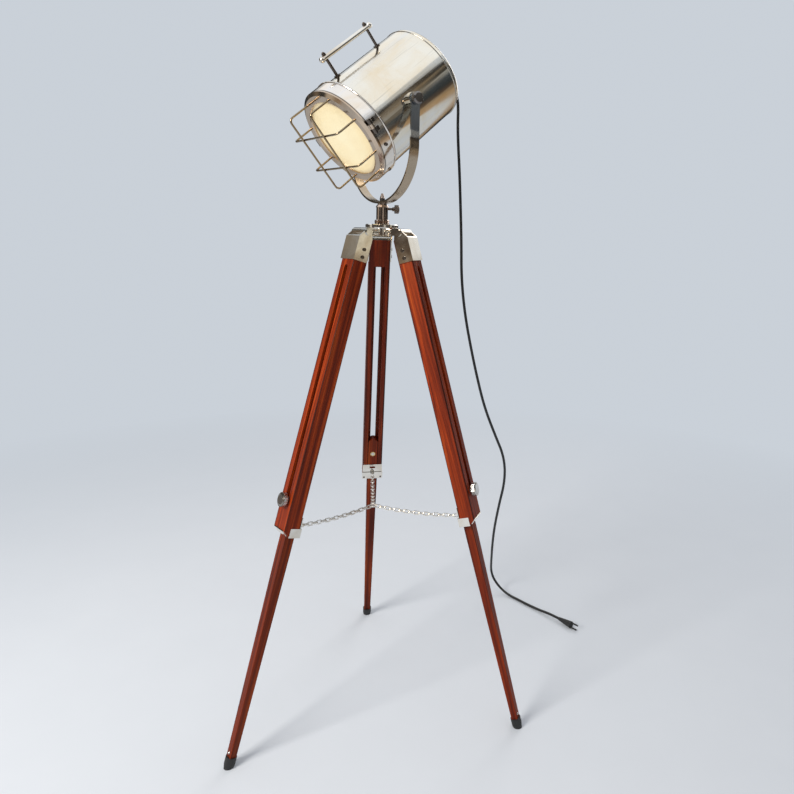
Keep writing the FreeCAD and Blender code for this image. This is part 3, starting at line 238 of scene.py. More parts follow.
# Stained wood from its darkest to its lightest grain, where each begins, and its arrises' colour
WOOD_TONES = ((0.055, 0.005, 0.001), (0.190, 0.018, 0.002),
              (0.400, 0.046, 0.004), (0.650, 0.120, 0.013))
WOOD_FIGURE = (0.30, 0.42, 0.55, 0.72)
WOOD_ARRIS = (0.022, 0.004, 0.002)
# Painted shade on each leg's rail and lower leg, as a share of the lightest stain, 1 for none
TIMBER_PAINTED_SHADE = {"rear": (0.50, 0.50), "left": (1.0, 0.55), "right": (0.95, 0.72)}

# Front glass: radius in metres, glow from the middle to the rim, tone of its clouds, own colour
GLASS_REACH = 0.1
GLASS_GLOW = ((0.0, (1.0, 0.88, 0.58)), (0.50, (1.0, 0.85, 0.52)),
              (0.72, (0.92, 0.72, 0.38)), (0.83, (0.46, 0.33, 0.16)))
GLASS_CLOUD = (0.90, 0.70, 0.38)
GLASS_TINT = (0.34, 0.30, 0.20)


def shaded(tint, *factors):
    """A colour multiplied by one factor, or by one for each channel."""
    return tuple(value * factor for value, factor in zip(tint, factors * len(tint)))


def polished(name, tint, low=0.05, high=0.16):
    """Bright plated metal: faint polishing haze, tarnish clouds, small dents in the reflection."""
    shader = Shader(name)
    haze = shader.noise(shader.place, scale=38.0, detail=6.0, rough=0.6)
    tarnish = shader.noise(shader.place, scale=14.0, detail=5.0, rough=0.6, twist=0.8)
    fine = shader.noise(shader.place, scale=900.0, detail=2.0)
    clouds = shader.cover(tarnish, start=0.42, full=0.68, share=0.8)
    colour = shader.mix(clouds, tint, shaded(tint, *TARNISHED))
    shader.bump(shader.plus(haze, fine, share=0.12), strength=0.05, distance=0.0006)
    return shader.finish(Base_Color=colour, Metallic=1.0,
                         Roughness=shader.remap(haze, SPREAD, (low, high)))


def knurled(name, tint, origin, axis, ribs, dark_reflection_tint=None):
    """Plated knob: ribs round its rim with painted shade in their grooves and, where given, a
    painted dark reflection on its face towards the axis's end.
    """
    shader = Shader(name)
    axis = axis.normalized()
    across = axis.orthogonal().normalized()
    over = axis.cross(across)
    angle = shader.math("ARCTAN2", shader.along(across, origin), shader.along(over, origin))
    wave = shader.math("SINE", shader.math("MULTIPLY", angle, float(ribs)))
    facing = shader.add("ShaderNodeVectorMath", operation="DOT_PRODUCT")
    shader.put(facing, 0, shader.add("ShaderNodeNewGeometry").outputs["Normal"])
    shader.put(facing, 1, axis)
    rim = shader.cover(shader.math("ABSOLUTE", facing.outputs["Value"]), start=0.6, full=0.3)
    haze = shader.noise(shader.place, scale=60.0, detail=5.0, rough=0.6)
    colour = shader.mix(shader.cover(haze, start=0.35, full=0.7), tint, shaded(tint, KNOB_WORN))
    # Painted dark reflection on the knob's face, where given
    if dark_reflection_tint is not None:
        face = shader.cover(facing.outputs["Value"], start=0.75, full=0.95)
        colour = shader.mix(face, colour, dark_reflection_tint)
    # Painted shade: the grooves between the ribs drawn darker
    grooves = shader.cover(wave, start=-0.2, full=-0.9, share=0.55)
    colour = shader.mix(shader.math("MULTIPLY", rim, grooves), colour, shaded(tint, KNOB_GROOVE_SHADE))
    shader.bump(shader.math("MULTIPLY", wave, rim), strength=0.6, distance=0.0005)
    return shader.finish(Base_Color=colour, Metallic=1.0,
                         Roughness=shader.remap(haze, SPREAD, (0.12, 0.28)))


def drum_metal(name, tint, seams, low=0.06, high=0.17):
    """Polished sheet with the long soft streaks and warm tarnish that run along the drum."""
    shader = Shader(name)
    streak = shader.grain(HEAD_AXES, scales=(34, 34, 2.2), detail=5.0)
    brushed = shader.grain(HEAD_AXES, scales=(260, 260, 7), detail=3.0)
    wave = shader.grain(HEAD_AXES, scales=(16, 16, 5), detail=2.0)
    cloud = shader.noise(shader.place, scale=11.0, detail=4.0, rough=0.6, twist=0.6)
    colour = shader.mix(shader.cover(cloud, start=0.35, full=0.68, share=0.8),
                        tint, shaded(tint, *DRUM_TARNISHED))
    colour = shader.mix(shader.cover(streak, start=0.52, full=0.72, share=0.6),
                        colour, shaded(tint, *DRUM_COOLED))
    colour = shader.mix(shader.cover(brushed, start=0.60, full=0.75, share=0.35),
                        colour, shaded(tint, DRUM_BRUSHED))
    ahead = shader.along(HEAD_AHEAD, PIVOT)
    for place, half_width, depth in seams:
        seam = shader.cover(shader.apart(ahead, place),
                            start=half_width, full=0.4 * half_width, share=depth)
        colour = shader.mix(seam, colour, SEAM_DIRT)
    shader.bump(shader.plus(brushed, wave, share=1.6), strength=0.10, distance=0.0009)
    return shader.finish(Base_Color=colour, Metallic=1.0,
                         Roughness=shader.remap(streak, SPREAD, (low, high)))


def strap_reflection_metal(name):
    """Yoke strap with painted reflections: blue-grey where it stands up beside the drum, brown
    round its bend, and a painted highlight patch and dark edge between.
    """
    shader = Shader(name)
    drift = shader.math("SUBTRACT", shader.noise(shader.place, scale=30.0, detail=4.0), MIDDLE)
    height = shader.plus(shader.along(UPWARD, UPWARD * STRAP_BEND_TOP), drift, STRAP_DRIFT)
    colour = shader.ramp(shader.cover(height, start=-STRAP_CHANGE, full=STRAP_CHANGE), STRAP_REFLECTION_TONES)
    haze = shader.noise(shader.place, scale=90.0, detail=5.0, rough=0.6)
    shader.bump(haze, strength=0.06, distance=0.0006)
    return shader.finish(Base_Color=colour, Metallic=1.0,
                         Roughness=shader.remap(haze, SPREAD, (0.14, 0.30)))


def wood(node, side, shade):
    """Lacquered red-brown hardwood with long grain along the leg and darker, worn arrises."""
    axes = leg_axes(side)
    hinge, out, pin, _ = axes
    shader = Shader("wood_" + node)
    # The stain's tones, darkened by this part's painted shade
    tones = [shaded(tone, shade) for tone in WOOD_TONES]
    dark = shaded(tones[2], WOOD_GRAIN)
    figure = shader.grain(axes, scales=(44.0, 44.0, 1.5), detail=6.0, rough=0.6, twist=1.6)
    fibre = shader.grain(axes, scales=(420.0, 420.0, 6.0), detail=4.0, rough=0.6)
    pores = shader.grain(axes, scales=(1500.0, 1500.0, 36.0), detail=2.0)
    stain = shader.grain(axes, scales=(9.0, 9.0, 4.0), detail=3.0)
    colour = shader.ramp(figure, zip(WOOD_FIGURE, tones))
    colour = shader.mix(shader.cover(fibre, start=0.60, full=0.36, share=0.55), colour, dark)
    colour = shader.mix(shader.cover(pores, start=0.62, full=0.72, share=0.5), colour, tones[0])
    colour = shader.mix(shader.cover(stain, start=0.50, full=0.75, share=0.45), colour, dark)
    low, high = span(node, out, hinge)
    half_width = span(node, pin, hinge)[1]
    deep = shader.math("ABSOLUTE", shader.along(out, hinge + out * (low + high) / 2))
    wide = shader.math("ABSOLUTE", shader.along(pin, hinge))
    arris = shader.math("MINIMUM", shader.math("DIVIDE", deep, (high - low) / 2),
                        shader.math("DIVIDE", wide, half_width))
    ragged = shader.plus(arris, shader.math("SUBTRACT", fibre, MIDDLE), share=0.12)
    worn = shader.cover(ragged, start=0.82, full=0.95, share=0.9)
    colour = shader.mix(worn, colour, WOOD_ARRIS)
    shader.bump(shader.plus(pores, fibre, share=0.6), strength=0.10, distance=0.0004)
    return shader.finish(Base_Color=colour, Roughness=shader.remap(fibre, SPREAD, (0.42, 0.60)),
                         Specular_IOR_Level=0.15, Coat_Weight=0.05, Coat_Roughness=0.15)


def rubber(name, level, roughness):
    """Black rubber with a fine grain and a little dust."""
    shader = Shader(name)
    grain = shader.noise(shader.place, scale=1400.0, detail=3.0)
    dust = shader.noise(shader.place, scale=60.0, detail=5.0)
    black = (level, level, level)
    dusty = shader.cover(dust, start=0.45, full=0.75, share=0.5)
    colour = shader.mix(dusty, black, shaded(black, RUBBER_DUST))
    shader.bump(grain, strength=0.25, distance=0.0003)
    return shader.finish(Base_Color=colour,
                         Roughness=shader.remap(dust, SPREAD, (roughness, roughness + 0.15)))


def lit_glass():
    """Frosted front glass, glowing warm from the lamp behind it."""
    shader = Shader("frosted_front_glass")
    across = shader.along(HEAD_SIDE, PIVOT)
    over = shader.along(HEAD_UP, PIVOT)
    radius = shader.math("SQRT", shader.math("ADD", shader.math("MULTIPLY", across, across),
                                             shader.math("MULTIPLY", over, over)))
    pebble = shader.add("ShaderNodeTexVoronoi", feature="SMOOTH_F1")
    shader.put(pebble, "Vector", shader.place)
    shader.put(pebble, "Scale", 420.0)
    cloud = shader.noise(shader.place, scale=22.0, detail=3.0)
    glow = shader.ramp(shader.math("DIVIDE", radius, GLASS_REACH), GLASS_GLOW, smooth=True)
    glow = shader.mix(shader.cover(cloud, start=0.38, full=0.66, share=0.30), glow, GLASS_CLOUD)
    shader.bump(pebble.outputs["Distance"], strength=0.35, distance=0.0008)
    return shader.finish(Base_Color=GLASS_TINT, Roughness=0.35, Emission_Color=glow,
                         Emission_Strength=0.66, Coat_Weight=0.25, Coat_Roughness=0.1)


def plain(name, colour, roughness, metallic=0.0, glow=0.0):
    """Small hidden or trim parts: slight mottling and a fine grain."""
    shader = Shader(name)
    mottle = shader.noise(shader.place, scale=70.0, detail=4.0)
    tone = shader.mix(shader.remap(mottle, SPREAD, (0.0, 1.0)), colour, shaded(colour, MOTTLED))
    grain = shader.noise(shader.place, scale=1200.0, detail=2.0)
    shader.bump(grain, strength=0.08, distance=0.0003)
    return shader.finish(Base_Color=tone, Metallic=metallic, Emission_Color=tone,
                         Emission_Strength=glow,
                         Roughness=shader.remap(mottle, SPREAD, (roughness, roughness + 0.1)))


def coat(mesh, material):
    mesh.materials.clear()
    mesh.materials.append(material)


def dress(names, material):
    for name in names:
        coat(NODES[name].data, material)


def joint_knob(name, joint, tint, ribs):
    """Knob plating that stands about its own joint's axis."""
    turn = JOINTS[joint]
    return knurled(name, tint, Vector(turn["pos_m"]), Vector(turn["axis"]), ribs)


BRIGHT = polished("bright_plating", tint=(0.80, 0.77, 0.71))
DARK = polished("dark_plating", tint=(0.13, 0.11, 0.095), low=0.12, high=0.28)
# Guard wires: their dark bronze tint is a painted dark reflection
GUARD_REFLECTION_PLATING = polished("guard_painted_reflection", tint=(0.34, 0.27, 0.18), low=0.10, high=0.22)
# Post, collar, spigot and finial: their brown tint is a painted warm reflection
POST_REFLECTION_PLATING = polished("post_painted_reflection", tint=(0.62, 0.50, 0.43), low=0.06, high=0.16)
WARM = polished("warm_plating", tint=(0.56, 0.45, 0.35), low=0.08, high=0.2)
LINK = polished("chain_plating", tint=(0.86, 0.84, 0.80), low=0.22, high=0.36)
BLACK = rubber("black_rubber", level=0.012, roughness=0.5)
CORD = rubber("cord_sheath", level=0.006, roughness=0.42)

DRUM_TINT = (0.82, 0.78, 0.69)
COLLAR_TINT = (0.84, 0.79, 0.73)
POST_KNOB_TINT = (0.24, 0.19, 0.16)
TILT_KNOB_TINT = (0.22, 0.20, 0.19)
LEG_KNOB_TINT = (0.78, 0.75, 0.70)
# Painted dark reflection on the face of the left leg's knob
LEG_KNOB_DARK_REFLECTION = (0.16, 0.12, 0.09)
REFLECTOR_TINT = (0.80, 0.80, 0.78)
CERAMIC_TINT = (0.78, 0.76, 0.72)
BULB_TINT = (0.95, 0.86, 0.65)
BRASS_TINT = (0.72, 0.52, 0.22)
# Dark joint lines round the drum: metres ahead of the pivot, half width in metres and depth of tone
DRUM_SEAMS = ((0.0840, 0.0022, 0.85), (-0.1150, 0.0010, 0.6), (-0.1235, 0.0016, 0.75))
COLLAR_SEAMS = ((0.0860, 0.0016, 0.8), (0.0905, 0.0008, 0.4), (0.1165, 0.0020, 0.85))

dress(["drum_shell", "rear_cap"], drum_metal("drum_plating", DRUM_TINT, DRUM_SEAMS))
dress(["collar_band"], drum_metal("collar_plating", COLLAR_TINT, COLLAR_SEAMS, low=0.10))
dress(["hub_casting", "pivot_bosses", "grip_bar"], BRIGHT)
dress(["post_body", "post_collar", "yoke_spigot", "finial"], POST_REFLECTION_PLATING)
dress(["yoke_strap"], strap_reflection_metal("strap_painted_reflections"))
dress(["chain_ring"], LINK)
dress(["bezel_ring"], WARM)
dress(["guard_cage"], GUARD_REFLECTION_PLATING)
dress(["handle_posts", "handle_nuts", "door_latch", "door_hinge"], DARK)
dress(["post_thumbscrew"], joint_knob("post_knob", "post_thumbscrew_turn", POST_KNOB_TINT, ribs=24))
dress(["tilt_knob_near"], joint_knob("near_knob", "tilt_knob_near_turn", TILT_KNOB_TINT, ribs=28))
dress(["tilt_knob_far"], joint_knob("far_knob", "tilt_knob_far_turn", TILT_KNOB_TINT, ribs=28))
dress(["reflector"], plain("spun_reflector", REFLECTOR_TINT, roughness=0.25, metallic=1.0))
dress(["lamp_socket"], plain("socket_ceramic", CERAMIC_TINT, roughness=0.4))
dress(["bulb"], plain("opal_bulb", BULB_TINT, roughness=0.3, glow=0.6))
dress(["glass_lens"], lit_glass())
dress(["cord_gland", "power_plug"], BLACK)
dress(["power_cord"], CORD)
for side in SIDES:
    outward = leg_axes(side)[1]
    turn = JOINTS["thumbscrew_turn_" + side]
    for node, shade in zip(("upper_leg_" + side, "lower_leg_" + side), TIMBER_PAINTED_SHADE[side]):
        dress([node], wood(node, side, shade))
    dress([name + side for name in ("hinge_pin_", "leg_bracket_", "ferrule_")], BRIGHT)
    dress(["spreader_chain_" + side], LINK)
    # Only the left leg's knob gets the painted dark reflection on its face
    dress(["leg_thumbscrew_" + side],
          knurled("leg_knob_" + side, LEG_KNOB_TINT, Vector(turn["pos_m"]), outward, ribs=30,
                  dark_reflection_tint=LEG_KNOB_DARK_REFLECTION if side == "left" else None))
    dress(["bracket_screws_" + side], DARK)
    dress(["thread_insert_" + side],
          plain("insert_brass_" + side, BRASS_TINT, roughness=0.3, metallic=1.0))
    dress(["rubber_foot_" + side], BLACK)


# ---------------------------------------------------------------- the cord

# Control points of the cord's spline, in millimetres about the tripod's axis on the floor
CORD_ROUTE = [
    (142, 112, 1372), (158, 121, 1369), (171, 128, 1357), (178, 132, 1341), (180, 132, 1318),
    (180, 133, 1286), (182, 133, 1242), (187, 135, 1184), (192, 137, 1106), (197, 139, 1019),
    (200, 142, 930), (212, 147, 842), (231, 153, 757), (251, 161, 680), (274, 171, 604),
    (306, 182, 530), (336, 196, 466), (345, 214, 398), (338, 242, 320), (336, 277, 240),
    (342, 316, 168), (349, 347, 120), (354, 368, 90), (358, 382, 69), (363, 386, 50),
    (371, 383, 33), (382, 375, 19), (394, 363, 9), (407, 346, 4), (424, 321, 4),
    (446, 286, 4), (470, 252, 5), (488, 224, 9.3), (505, 197, 9.3)]
MILLIMETRE = 0.001
CORD_DIAMETER = 0.0066
# How finely the cord's tube is cut round and along, and the order of its spline
CORD_ROUND_STEPS = 4
CORD_STEPS = 8
CORD_ORDER = 3
# End of the cord's gland in the head's own frame (side, up, ahead), and its straight start
GLAND_RUN = 0.022
GLAND_TIP = Vector((-0.030, -0.046, -0.1282 - GLAND_RUN))


def in_head(place):
    """A point of the head's own frame (side, up, ahead) in metres."""
    return PIVOT + HEAD_SIDE * place[0] + HEAD_UP * place[1] + HEAD_AHEAD * place[2]


def finished_mesh(piece, name):
    """The mesh that a curve or a modified object gives, with the object taken away."""
    bpy.context.view_layer.update()
    mesh = bpy.data.meshes.new_from_object(
        piece.evaluated_get(bpy.context.evaluated_depsgraph_get()))
    bpy.data.objects.remove(piece)
    mesh.name = name
    return mesh


def cord_line(points, thickness):
    """One smooth spline through its control points, with a round section or none."""
    curve = bpy.data.curves.new("cord_line", "CURVE")
    curve.dimensions = "3D"
    curve.bevel_depth = thickness
    curve.bevel_resolution = CORD_ROUND_STEPS
    curve.resolution_u = CORD_STEPS
    curve.use_fill_caps = thickness > 0
    spline = curve.splines.new("NURBS")
    spline.points.add(len(points) - 1)
    for point, place in zip(spline.points, points):
        point.co = (*place, 1.0)
    spline.order_u = CORD_ORDER
    spline.use_endpoint_u = True
    return add_object("cord_line", curve)


def new_piece(name, mesh, material):
    coat(mesh, material)
    return add_object(name, mesh)


def copy_node(name, node, material):
    """A piece with a node's own shape, for one that has to follow other bodies than the node."""
    mesh = NODES[node].data.copy()
    mesh.transform(NODES[node].matrix_world)
    piece = new_piece(name, mesh, material)
    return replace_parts(piece, node)


def power_cord():
    """Hanging power cord: a tube along a spline from the head's gland down to the floor, and its
    plug, which goes with the yoke.
    """
    tip = in_head(GLAND_TIP)
    foot = Vector((AXIS.x, AXIS.y, 0))
    points = [tip, tip - HEAD_AHEAD * GLAND_RUN]
    points += [foot + Vector(place) * MILLIMETRE for place in CORD_ROUTE]
    line = finished_mesh(cord_line(points, thickness=0.0), "cord_path")
    mesh = finished_mesh(cord_line(points, CORD_DIAMETER / 2), "hanging_cord")
    for face in mesh.polygons:
        face.use_smooth = True
    piece = new_piece("hanging_cord", mesh, CORD)
    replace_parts(piece, "power_cord")
    plug = copy_node("cord_plug", "power_plug", BLACK)
    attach(plug, "yoke")
    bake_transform(piece)


power_cord()


# ---------------------------------------------------------------- chains and small fasteners

def chains():
    """A piece for each chain, copied from its node's mesh and left where it stands."""
    for side in SIDES:
        piece = copy_node("chain_links_" + side, "spreader_chain_" + side, LINK)
        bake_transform(piece)


# Screw head of unit radius: rings of its dome as radius and share of the dome's height
SCREW_PROFILE = [(0.0, 1.0), (0.35, 0.97), (0.68, 0.82), (0.90, 0.52), (1.0, 0.18), (1.0, -0.25)]
SCREW_DOME = 0.6
SCREW_SIDES = 28
# Slot of that head: length, width and height of what is cut away, the middle's height, its turn
SLOT_CUT = (3, 0.26, 0.5)
SLOT_MIDDLE = 0.52
SLOT_TURN = 0.6

# Sizes and places of the small fasteners, in metres along the axes of the part that they sit on
CLAMP_SCREW_DROP = 0.6165
CLAMP_SCREW_INSET = 0.0048
CLAMP_SCREW_RADIUS = 0.0022
# Screws of a ferrule: name, side of its plate and turn of the slot
CLAMP_SCREWS = (("a", 1, 1.4), ("b", -1, -0.6))
# Share of the plate's half width beyond which its flat for the screws lies
CLAMP_FLAT_START = 0.6
TIP_NAIL_RISE = 0.007
TIP_NAIL_RADIUS = 0.0024
# Screws of the collar band: distance ahead of the pivot and degrees round from the top
BAND_SCREWS = ((0.104, 109.0), (0.100, 150.0))
BAND_SCREW_RADIUS = 0.0034
SET_SCREW_RADIUS = 0.0030
SET_SCREW_FACING = Vector((-0.97, -0.24, 0.0))
# Share of the post collar's radius at which its set screw sits
SET_SCREW_SEAT = 0.93


def screw_blank():
    """Domed head of unit radius on the XY plane with a slot cut across it."""
    shape = bmesh.new()
    rings = []
    angles = [2 * math.pi * k / SCREW_SIDES for k in range(SCREW_SIDES)]
    for radius, height in SCREW_PROFILE[1:]:
        rings.append([shape.verts.new((radius * math.cos(angle), radius * math.sin(angle),
                                       height * SCREW_DOME)) for angle in angles])
    top = shape.verts.new((0, 0, SCREW_PROFILE[0][1] * SCREW_DOME))
    for k in range(SCREW_SIDES):
        after = (k + 1) % SCREW_SIDES
        shape.faces.new((top, rings[0][k], rings[0][after]))
        for inner, outer in zip(rings, rings[1:]):
            shape.faces.new((inner[k], outer[k], outer[after], inner[after]))
    shape.faces.new(list(reversed(rings[-1])))
    mesh = bpy.data.meshes.new("screw_head")
    shape.to_mesh(mesh)
    shape.free()
    head = add_object("screw_head", mesh)
    cutter_shape = bmesh.new()
    middle = Matrix.Translation((0, 0, SLOT_MIDDLE))
    bmesh.ops.create_cube(cutter_shape, size=1.0, matrix=middle @ Matrix.Diagonal((*SLOT_CUT, 1)))
    cutter_mesh = bpy.data.meshes.new("screw_slot")
    cutter_shape.to_mesh(cutter_mesh)
    cutter_shape.free()
    cutter = add_object("screw_slot", cutter_mesh)
    slot = head.modifiers.new("slot", "BOOLEAN")
    slot.object = cutter
    slot.operation = "DIFFERENCE"
    blank = finished_mesh(head, "screw_blank")
    bpy.data.objects.remove(cutter)
    return blank


def add_screw(name, blank, place, normal, radius, body, material, slot_turn=SLOT_TURN):
    """Slotted screw head that sits on a surface at a place, facing along a normal."""
    mesh = blank.copy()
    turn = normal.normalized().to_track_quat("Z", "Y").to_matrix().to_4x4()
    mesh.transform(Matrix.Translation(place) @ turn @ Matrix.Rotation(slot_turn, 4, "Z")
                   @ Matrix.Scale(radius, 4))
    piece = new_piece(name, mesh, material)
    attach(piece, body)


def fasteners():
    """Screws of the ferrules, collar band and post collar, and a nail at each leg's tip."""
    blank = screw_blank()
    for side in SIDES:
        hinge, out, pin, up = leg_axes(side)
        clamp = "ferrule_" + side
        edge = span(clamp, pin, hinge)[1]
        flat = span(clamp, out, hinge,
                    lambda place: abs(place.dot(pin)) > CLAMP_FLAT_START * edge)[0]
        for word, sign, slot_turn in CLAMP_SCREWS:
            place = (hinge + out * flat + pin * sign * (edge - CLAMP_SCREW_INSET)
                     - up * CLAMP_SCREW_DROP)
            add_screw("clamp_screw_%s_%s" % (side, word), blank, place, -out, CLAMP_SCREW_RADIUS,
                      "leg_" + side, DARK, slot_turn)
        toe = span("rubber_foot_" + side, up, hinge)[1] + TIP_NAIL_RISE
        face = span("lower_leg_" + side, out, hinge, lambda place: place.dot(up) < toe)[1]
        add_screw("tip_nail_" + side, blank, hinge + out * face + up * toe, out, TIP_NAIL_RADIUS,
                  "lower_leg_" + side, BRIGHT)
    reach = span("collar_band", HEAD_SIDE, PIVOT)[1]
    for index, (ahead, degrees) in enumerate(BAND_SCREWS):
        angle = math.radians(degrees)
        normal = HEAD_SIDE * math.sin(angle) + HEAD_UP * math.cos(angle)
        add_screw("band_screw_%d" % index, blank, PIVOT + HEAD_AHEAD * ahead + normal * reach,
                  normal, BAND_SCREW_RADIUS, "head", DARK)
    low, high = (Vector(v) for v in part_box("post_collar"))
    middle = Vector((AXIS.x, AXIS.y, (low.z + high.z) / 2))
    place = middle + SET_SCREW_FACING * (high.x - low.x) / 2 * SET_SCREW_SEAT
    add_screw("collar_set_screw", blank, place, SET_SCREW_FACING, SET_SCREW_RADIUS,
              "tripod_hub", DARK)


chains()
fasteners()


# ---------------------------------------------------------------- camera and light

# Camera as solved from the photograph: place in metres, turns, then its focal length, optical
# centre and picture side in pixels
CAMERA_PLACE = Vector((-0.1076, -1.5351, 1.0194))
CAMERA_HEADING = math.radians(-13.5695)
CAMERA_DIP = math.radians(5.8913)
CAMERA_ROLL = math.radians(1.837)
FOCAL_PIXELS = 679.33
CENTRE_PIXELS = (491.58, 311.37)
PICTURE = 794.0
SENSOR_WIDTH = 36.0

# Colour of the wall behind the lamp, and the light that plain surfaces get from all round
BACKDROP = (0.59, 0.635, 0.69)
FILL_TINT = (0.60, 0.62, 0.66)
FILL = 0.50
# Floor: half its width and its drop below the feet in metres, its two tones, where it fades out
FLOOR_REACH = 30
FLOOR_DROP = 0.0004
FLOOR_TONES = ((0.72, 0.765, 0.825), (0.75, 0.795, 0.855))
FLOOR_FADE = (0.8, 2.6)
# Soft lamps: name, place, where it aims, width, watts, tint
LAMPS = (("key", (-2.4, -1.7, 2.3), (0, 0, 0.8), 1.3, 92, (1.0, 0.95, 0.88)),
         ("side", (1.5, 2.3, 2.3), (0, 0, 0.8), 1.4, 20, (1.0, 0.95, 0.90)),
         ("top", (-0.4, 0.0, 3.3), (-0.4, 0.0, 0.0), 5.0, 36, (1.0, 0.97, 0.93)))

# Ring of dark card round the lamp: its reach, lower and upper edge in metres, and its facets
CARD_REACH = 3.6
CARD_BOTTOM = 0.50
CARD_TOP = 3.15
CARD_FACETS = 64
# Colours of the ring from its lower to its upper edge, and of the patches that a noise lays on it
CARD_BANDS = ((0.0, (0.42, 0.31, 0.20)), (0.10, (0.36, 0.26, 0.16)), (0.16, (0.10, 0.07, 0.05)),
              (0.28, (0.030, 0.038, 0.045)), (0.50, (0.055, 0.066, 0.074)),
              (0.545, (0.34, 0.35, 0.35)), (0.64, (0.24, 0.24, 0.23)),
              (0.69, (0.012, 0.011, 0.009)), (0.95, (0.012, 0.010, 0.008)),
              (1.0, (0.10, 0.08, 0.055)))
CARD_PATCH = (0.30, 0.25, 0.19)
CARD_PATCH_SCALES = (2.6, 0.9)
# Paler windows in the ring: heading and half width in degrees, middle and half height, colour
CARD_WINDOWS = ((52, 14, 1.95, 0.42, (0.88, 0.88, 0.86)),
                (120, 8, 1.00, 0.13, (0.74, 0.68, 0.54)),
                (-95, 10, 1.30, 0.50, (0.70, 0.66, 0.58)),
                (165, 8, 1.40, 0.40, (0.75, 0.72, 0.66)))
# Share of a window's half size at which its soft edge starts
WINDOW_CORE = 0.7


def add_camera():
    """Camera that looks from where the photograph was taken."""
    ahead = Vector((-math.sin(CAMERA_HEADING) * math.cos(CAMERA_DIP),
                    math.cos(CAMERA_HEADING) * math.cos(CAMERA_DIP), -math.sin(CAMERA_DIP)))
    level = ahead.cross(UPWARD).normalized()
    over = level.cross(ahead)
    right = level * math.cos(CAMERA_ROLL) + over * math.sin(CAMERA_ROLL)
    up = over * math.cos(CAMERA_ROLL) - level * math.sin(CAMERA_ROLL)
    turn = Matrix((right, up, -ahead)).transposed().to_4x4()
    data = bpy.data.cameras.new("camera")
    data.sensor_width = SENSOR_WIDTH
    data.lens = FOCAL_PIXELS / PICTURE * data.sensor_width
    data.shift_x = (PICTURE / 2 - CENTRE_PIXELS[0]) / PICTURE
    data.shift_y = (CENTRE_PIXELS[1] - PICTURE / 2) / PICTURE
    camera = add_object("camera", data)
    camera.matrix_world = Matrix.Translation(CAMERA_PLACE) @ turn
    bpy.context.scene.camera = camera


def soft_light(name, place, target, width, power, tint):
    data = bpy.data.lights.new(name, "AREA")
    data.shape = "RECTANGLE"
    data.size = data.size_y = width
    data.energy = power
    data.color = tint
    lamp = add_object(name, data)
    lamp.location = place
    lamp.rotation_euler = (Vector(target) - Vector(place)).to_track_quat("-Z", "Y").to_euler()


def stage_mesh(name, vertices, faces, material):
    mesh = bpy.data.meshes.new(name)
    mesh.from_pydata(vertices, [], faces)
    piece = new_piece(name, mesh, material)
    return piece


def any_view_ray(tree):
    """Output that is 1 for a camera, glossy or transmission ray, so that metal sees the wall."""
    path = tree.nodes.new("ShaderNodeLightPath")
    total = path.outputs["Is Camera Ray"]
    for name in ("Is Glossy Ray", "Is Transmission Ray"):
        step = tree.nodes.new("ShaderNodeMath")
        step.operation = "MAXIMUM"
        tree.links.new(total, step.inputs[0])
        tree.links.new(path.outputs[name], step.inputs[1])
        total = step.outputs[0]
    return total


def pale_floor():
    """Pale floor that fades into the wall's colour with distance."""
    shader = Shader("floor_paint")
    speck = shader.noise(shader.place, scale=6.0, detail=3.0)
    shader.finish(Base_Color=shader.mix(speck, *FLOOR_TONES), Roughness=0.9, Specular_IOR_Level=0.1)
    distance = shader.add("ShaderNodeVectorMath", operation="LENGTH")
    shader.put(distance, 0, shader.place)
    far = shader.add("ShaderNodeEmission")
    shader.put(far, "Color", BACKDROP)
    fade = shader.add("ShaderNodeMixShader")
    faded = shader.remap(distance.outputs["Value"], FLOOR_FADE, (0.0, 1.0))
    shader.put(fade, 0, shader.math("MULTIPLY", faded, any_view_ray(shader.tree)))
    shader.link(shader.main.outputs["BSDF"], fade.inputs[1])
    shader.link(far.outputs["Emission"], fade.inputs[2])
    shader.link(fade.outputs["Shader"], shader.out.inputs["Surface"])
    corners = ((-1, -1), (1, -1), (1, 1), (-1, 1))
    stage_mesh("floor", [(x * FLOOR_REACH, y * FLOOR_REACH, -FLOOR_DROP) for x, y in corners],
               [(0, 1, 2, 3)], shader.material)


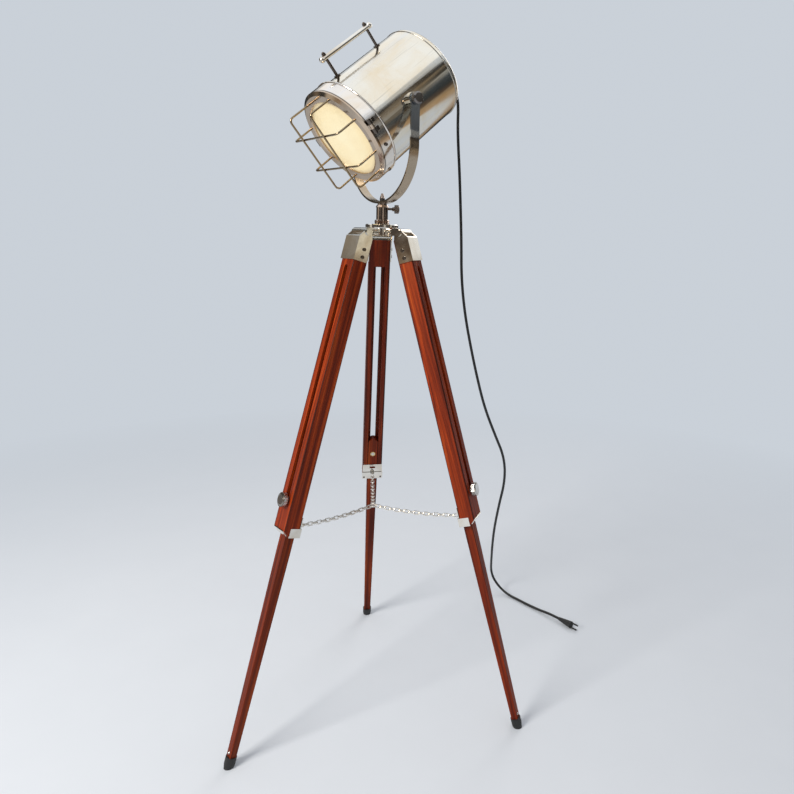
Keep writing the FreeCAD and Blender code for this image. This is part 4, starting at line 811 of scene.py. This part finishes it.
def surround():
    """Even wall colour for every ray that sees it, and a dimmer fill for plain surfaces."""
    world = bpy.data.worlds.new("surround")
    bpy.context.scene.world = world
    world.use_nodes = True
    tree = world.node_tree
    tree.nodes.clear()
    out = tree.nodes.new("ShaderNodeOutputWorld")
    choose = tree.nodes.new("ShaderNodeMixShader")
    tree.links.new(any_view_ray(tree), choose.inputs[0])
    for index, (colour, strength) in enumerate(((FILL_TINT, FILL), (BACKDROP, 1.0))):
        back = tree.nodes.new("ShaderNodeBackground")
        back.inputs["Color"].default_value = (*colour, 1.0)
        back.inputs["Strength"].default_value = strength
        tree.links.new(back.outputs[0], choose.inputs[index + 1])
    tree.links.new(choose.outputs[0], out.inputs["Surface"])


def dark_cards():
    """Ring of dark card that only the polished metal sees, in place of a furnished room."""
    shader = Shader("card_paint")
    shader.tree.nodes.remove(shader.main)
    split = shader.add("ShaderNodeSeparateXYZ")
    shader.put(split, 0, shader.place)
    around = shader.math("ARCTAN2", split.outputs["X"], split.outputs["Y"])
    height = split.outputs["Z"]
    bands = shader.ramp(shader.cover(height, CARD_BOTTOM, CARD_TOP), CARD_BANDS)
    unrolled = shader.add("ShaderNodeCombineXYZ")
    for index, (value, scale) in enumerate(zip((around, height), CARD_PATCH_SCALES)):
        shader.put(unrolled, index, shader.math("MULTIPLY", value, scale))
    patch = shader.noise(unrolled.outputs[0], scale=1.0, detail=2.0)
    tone = shader.mix(shader.cover(patch, start=0.55, full=0.62, share=0.75), bands, CARD_PATCH)
    for degrees, half_turn, middle, half_height, colour in CARD_WINDOWS:
        edge = math.radians(half_turn)
        sideways = shader.cover(shader.apart(around, math.radians(degrees)),
                                start=edge, full=WINDOW_CORE * edge)
        upward = shader.cover(shader.apart(height, middle),
                              start=half_height, full=WINDOW_CORE * half_height)
        tone = shader.mix(shader.math("MULTIPLY", sideways, upward), tone, colour)
    glow = shader.add("ShaderNodeEmission")
    shader.put(glow, "Color", tone)
    shader.link(glow.outputs["Emission"], shader.out.inputs["Surface"])
    vertices = []
    for k in range(CARD_FACETS):
        turn = 2 * math.pi * k / CARD_FACETS
        x, y = CARD_REACH * math.sin(turn), CARD_REACH * math.cos(turn)
        vertices += [(x, y, CARD_BOTTOM), (x, y, CARD_TOP)]
    faces = [(2 * k, 2 * k + 1, (2 * k + 3) % len(vertices), (2 * k + 2) % len(vertices))
             for k in range(CARD_FACETS)]
    ring = stage_mesh("reflection_cards", vertices, faces, shader.material)
    ring.visible_camera = ring.visible_diffuse = ring.visible_shadow = False
    ring.visible_transmission = False


add_camera()
pale_floor()
surround()
dark_cards()
for lamp in LAMPS:
    soft_light(*lamp)
bpy.context.scene.view_settings.view_transform = "Standard"
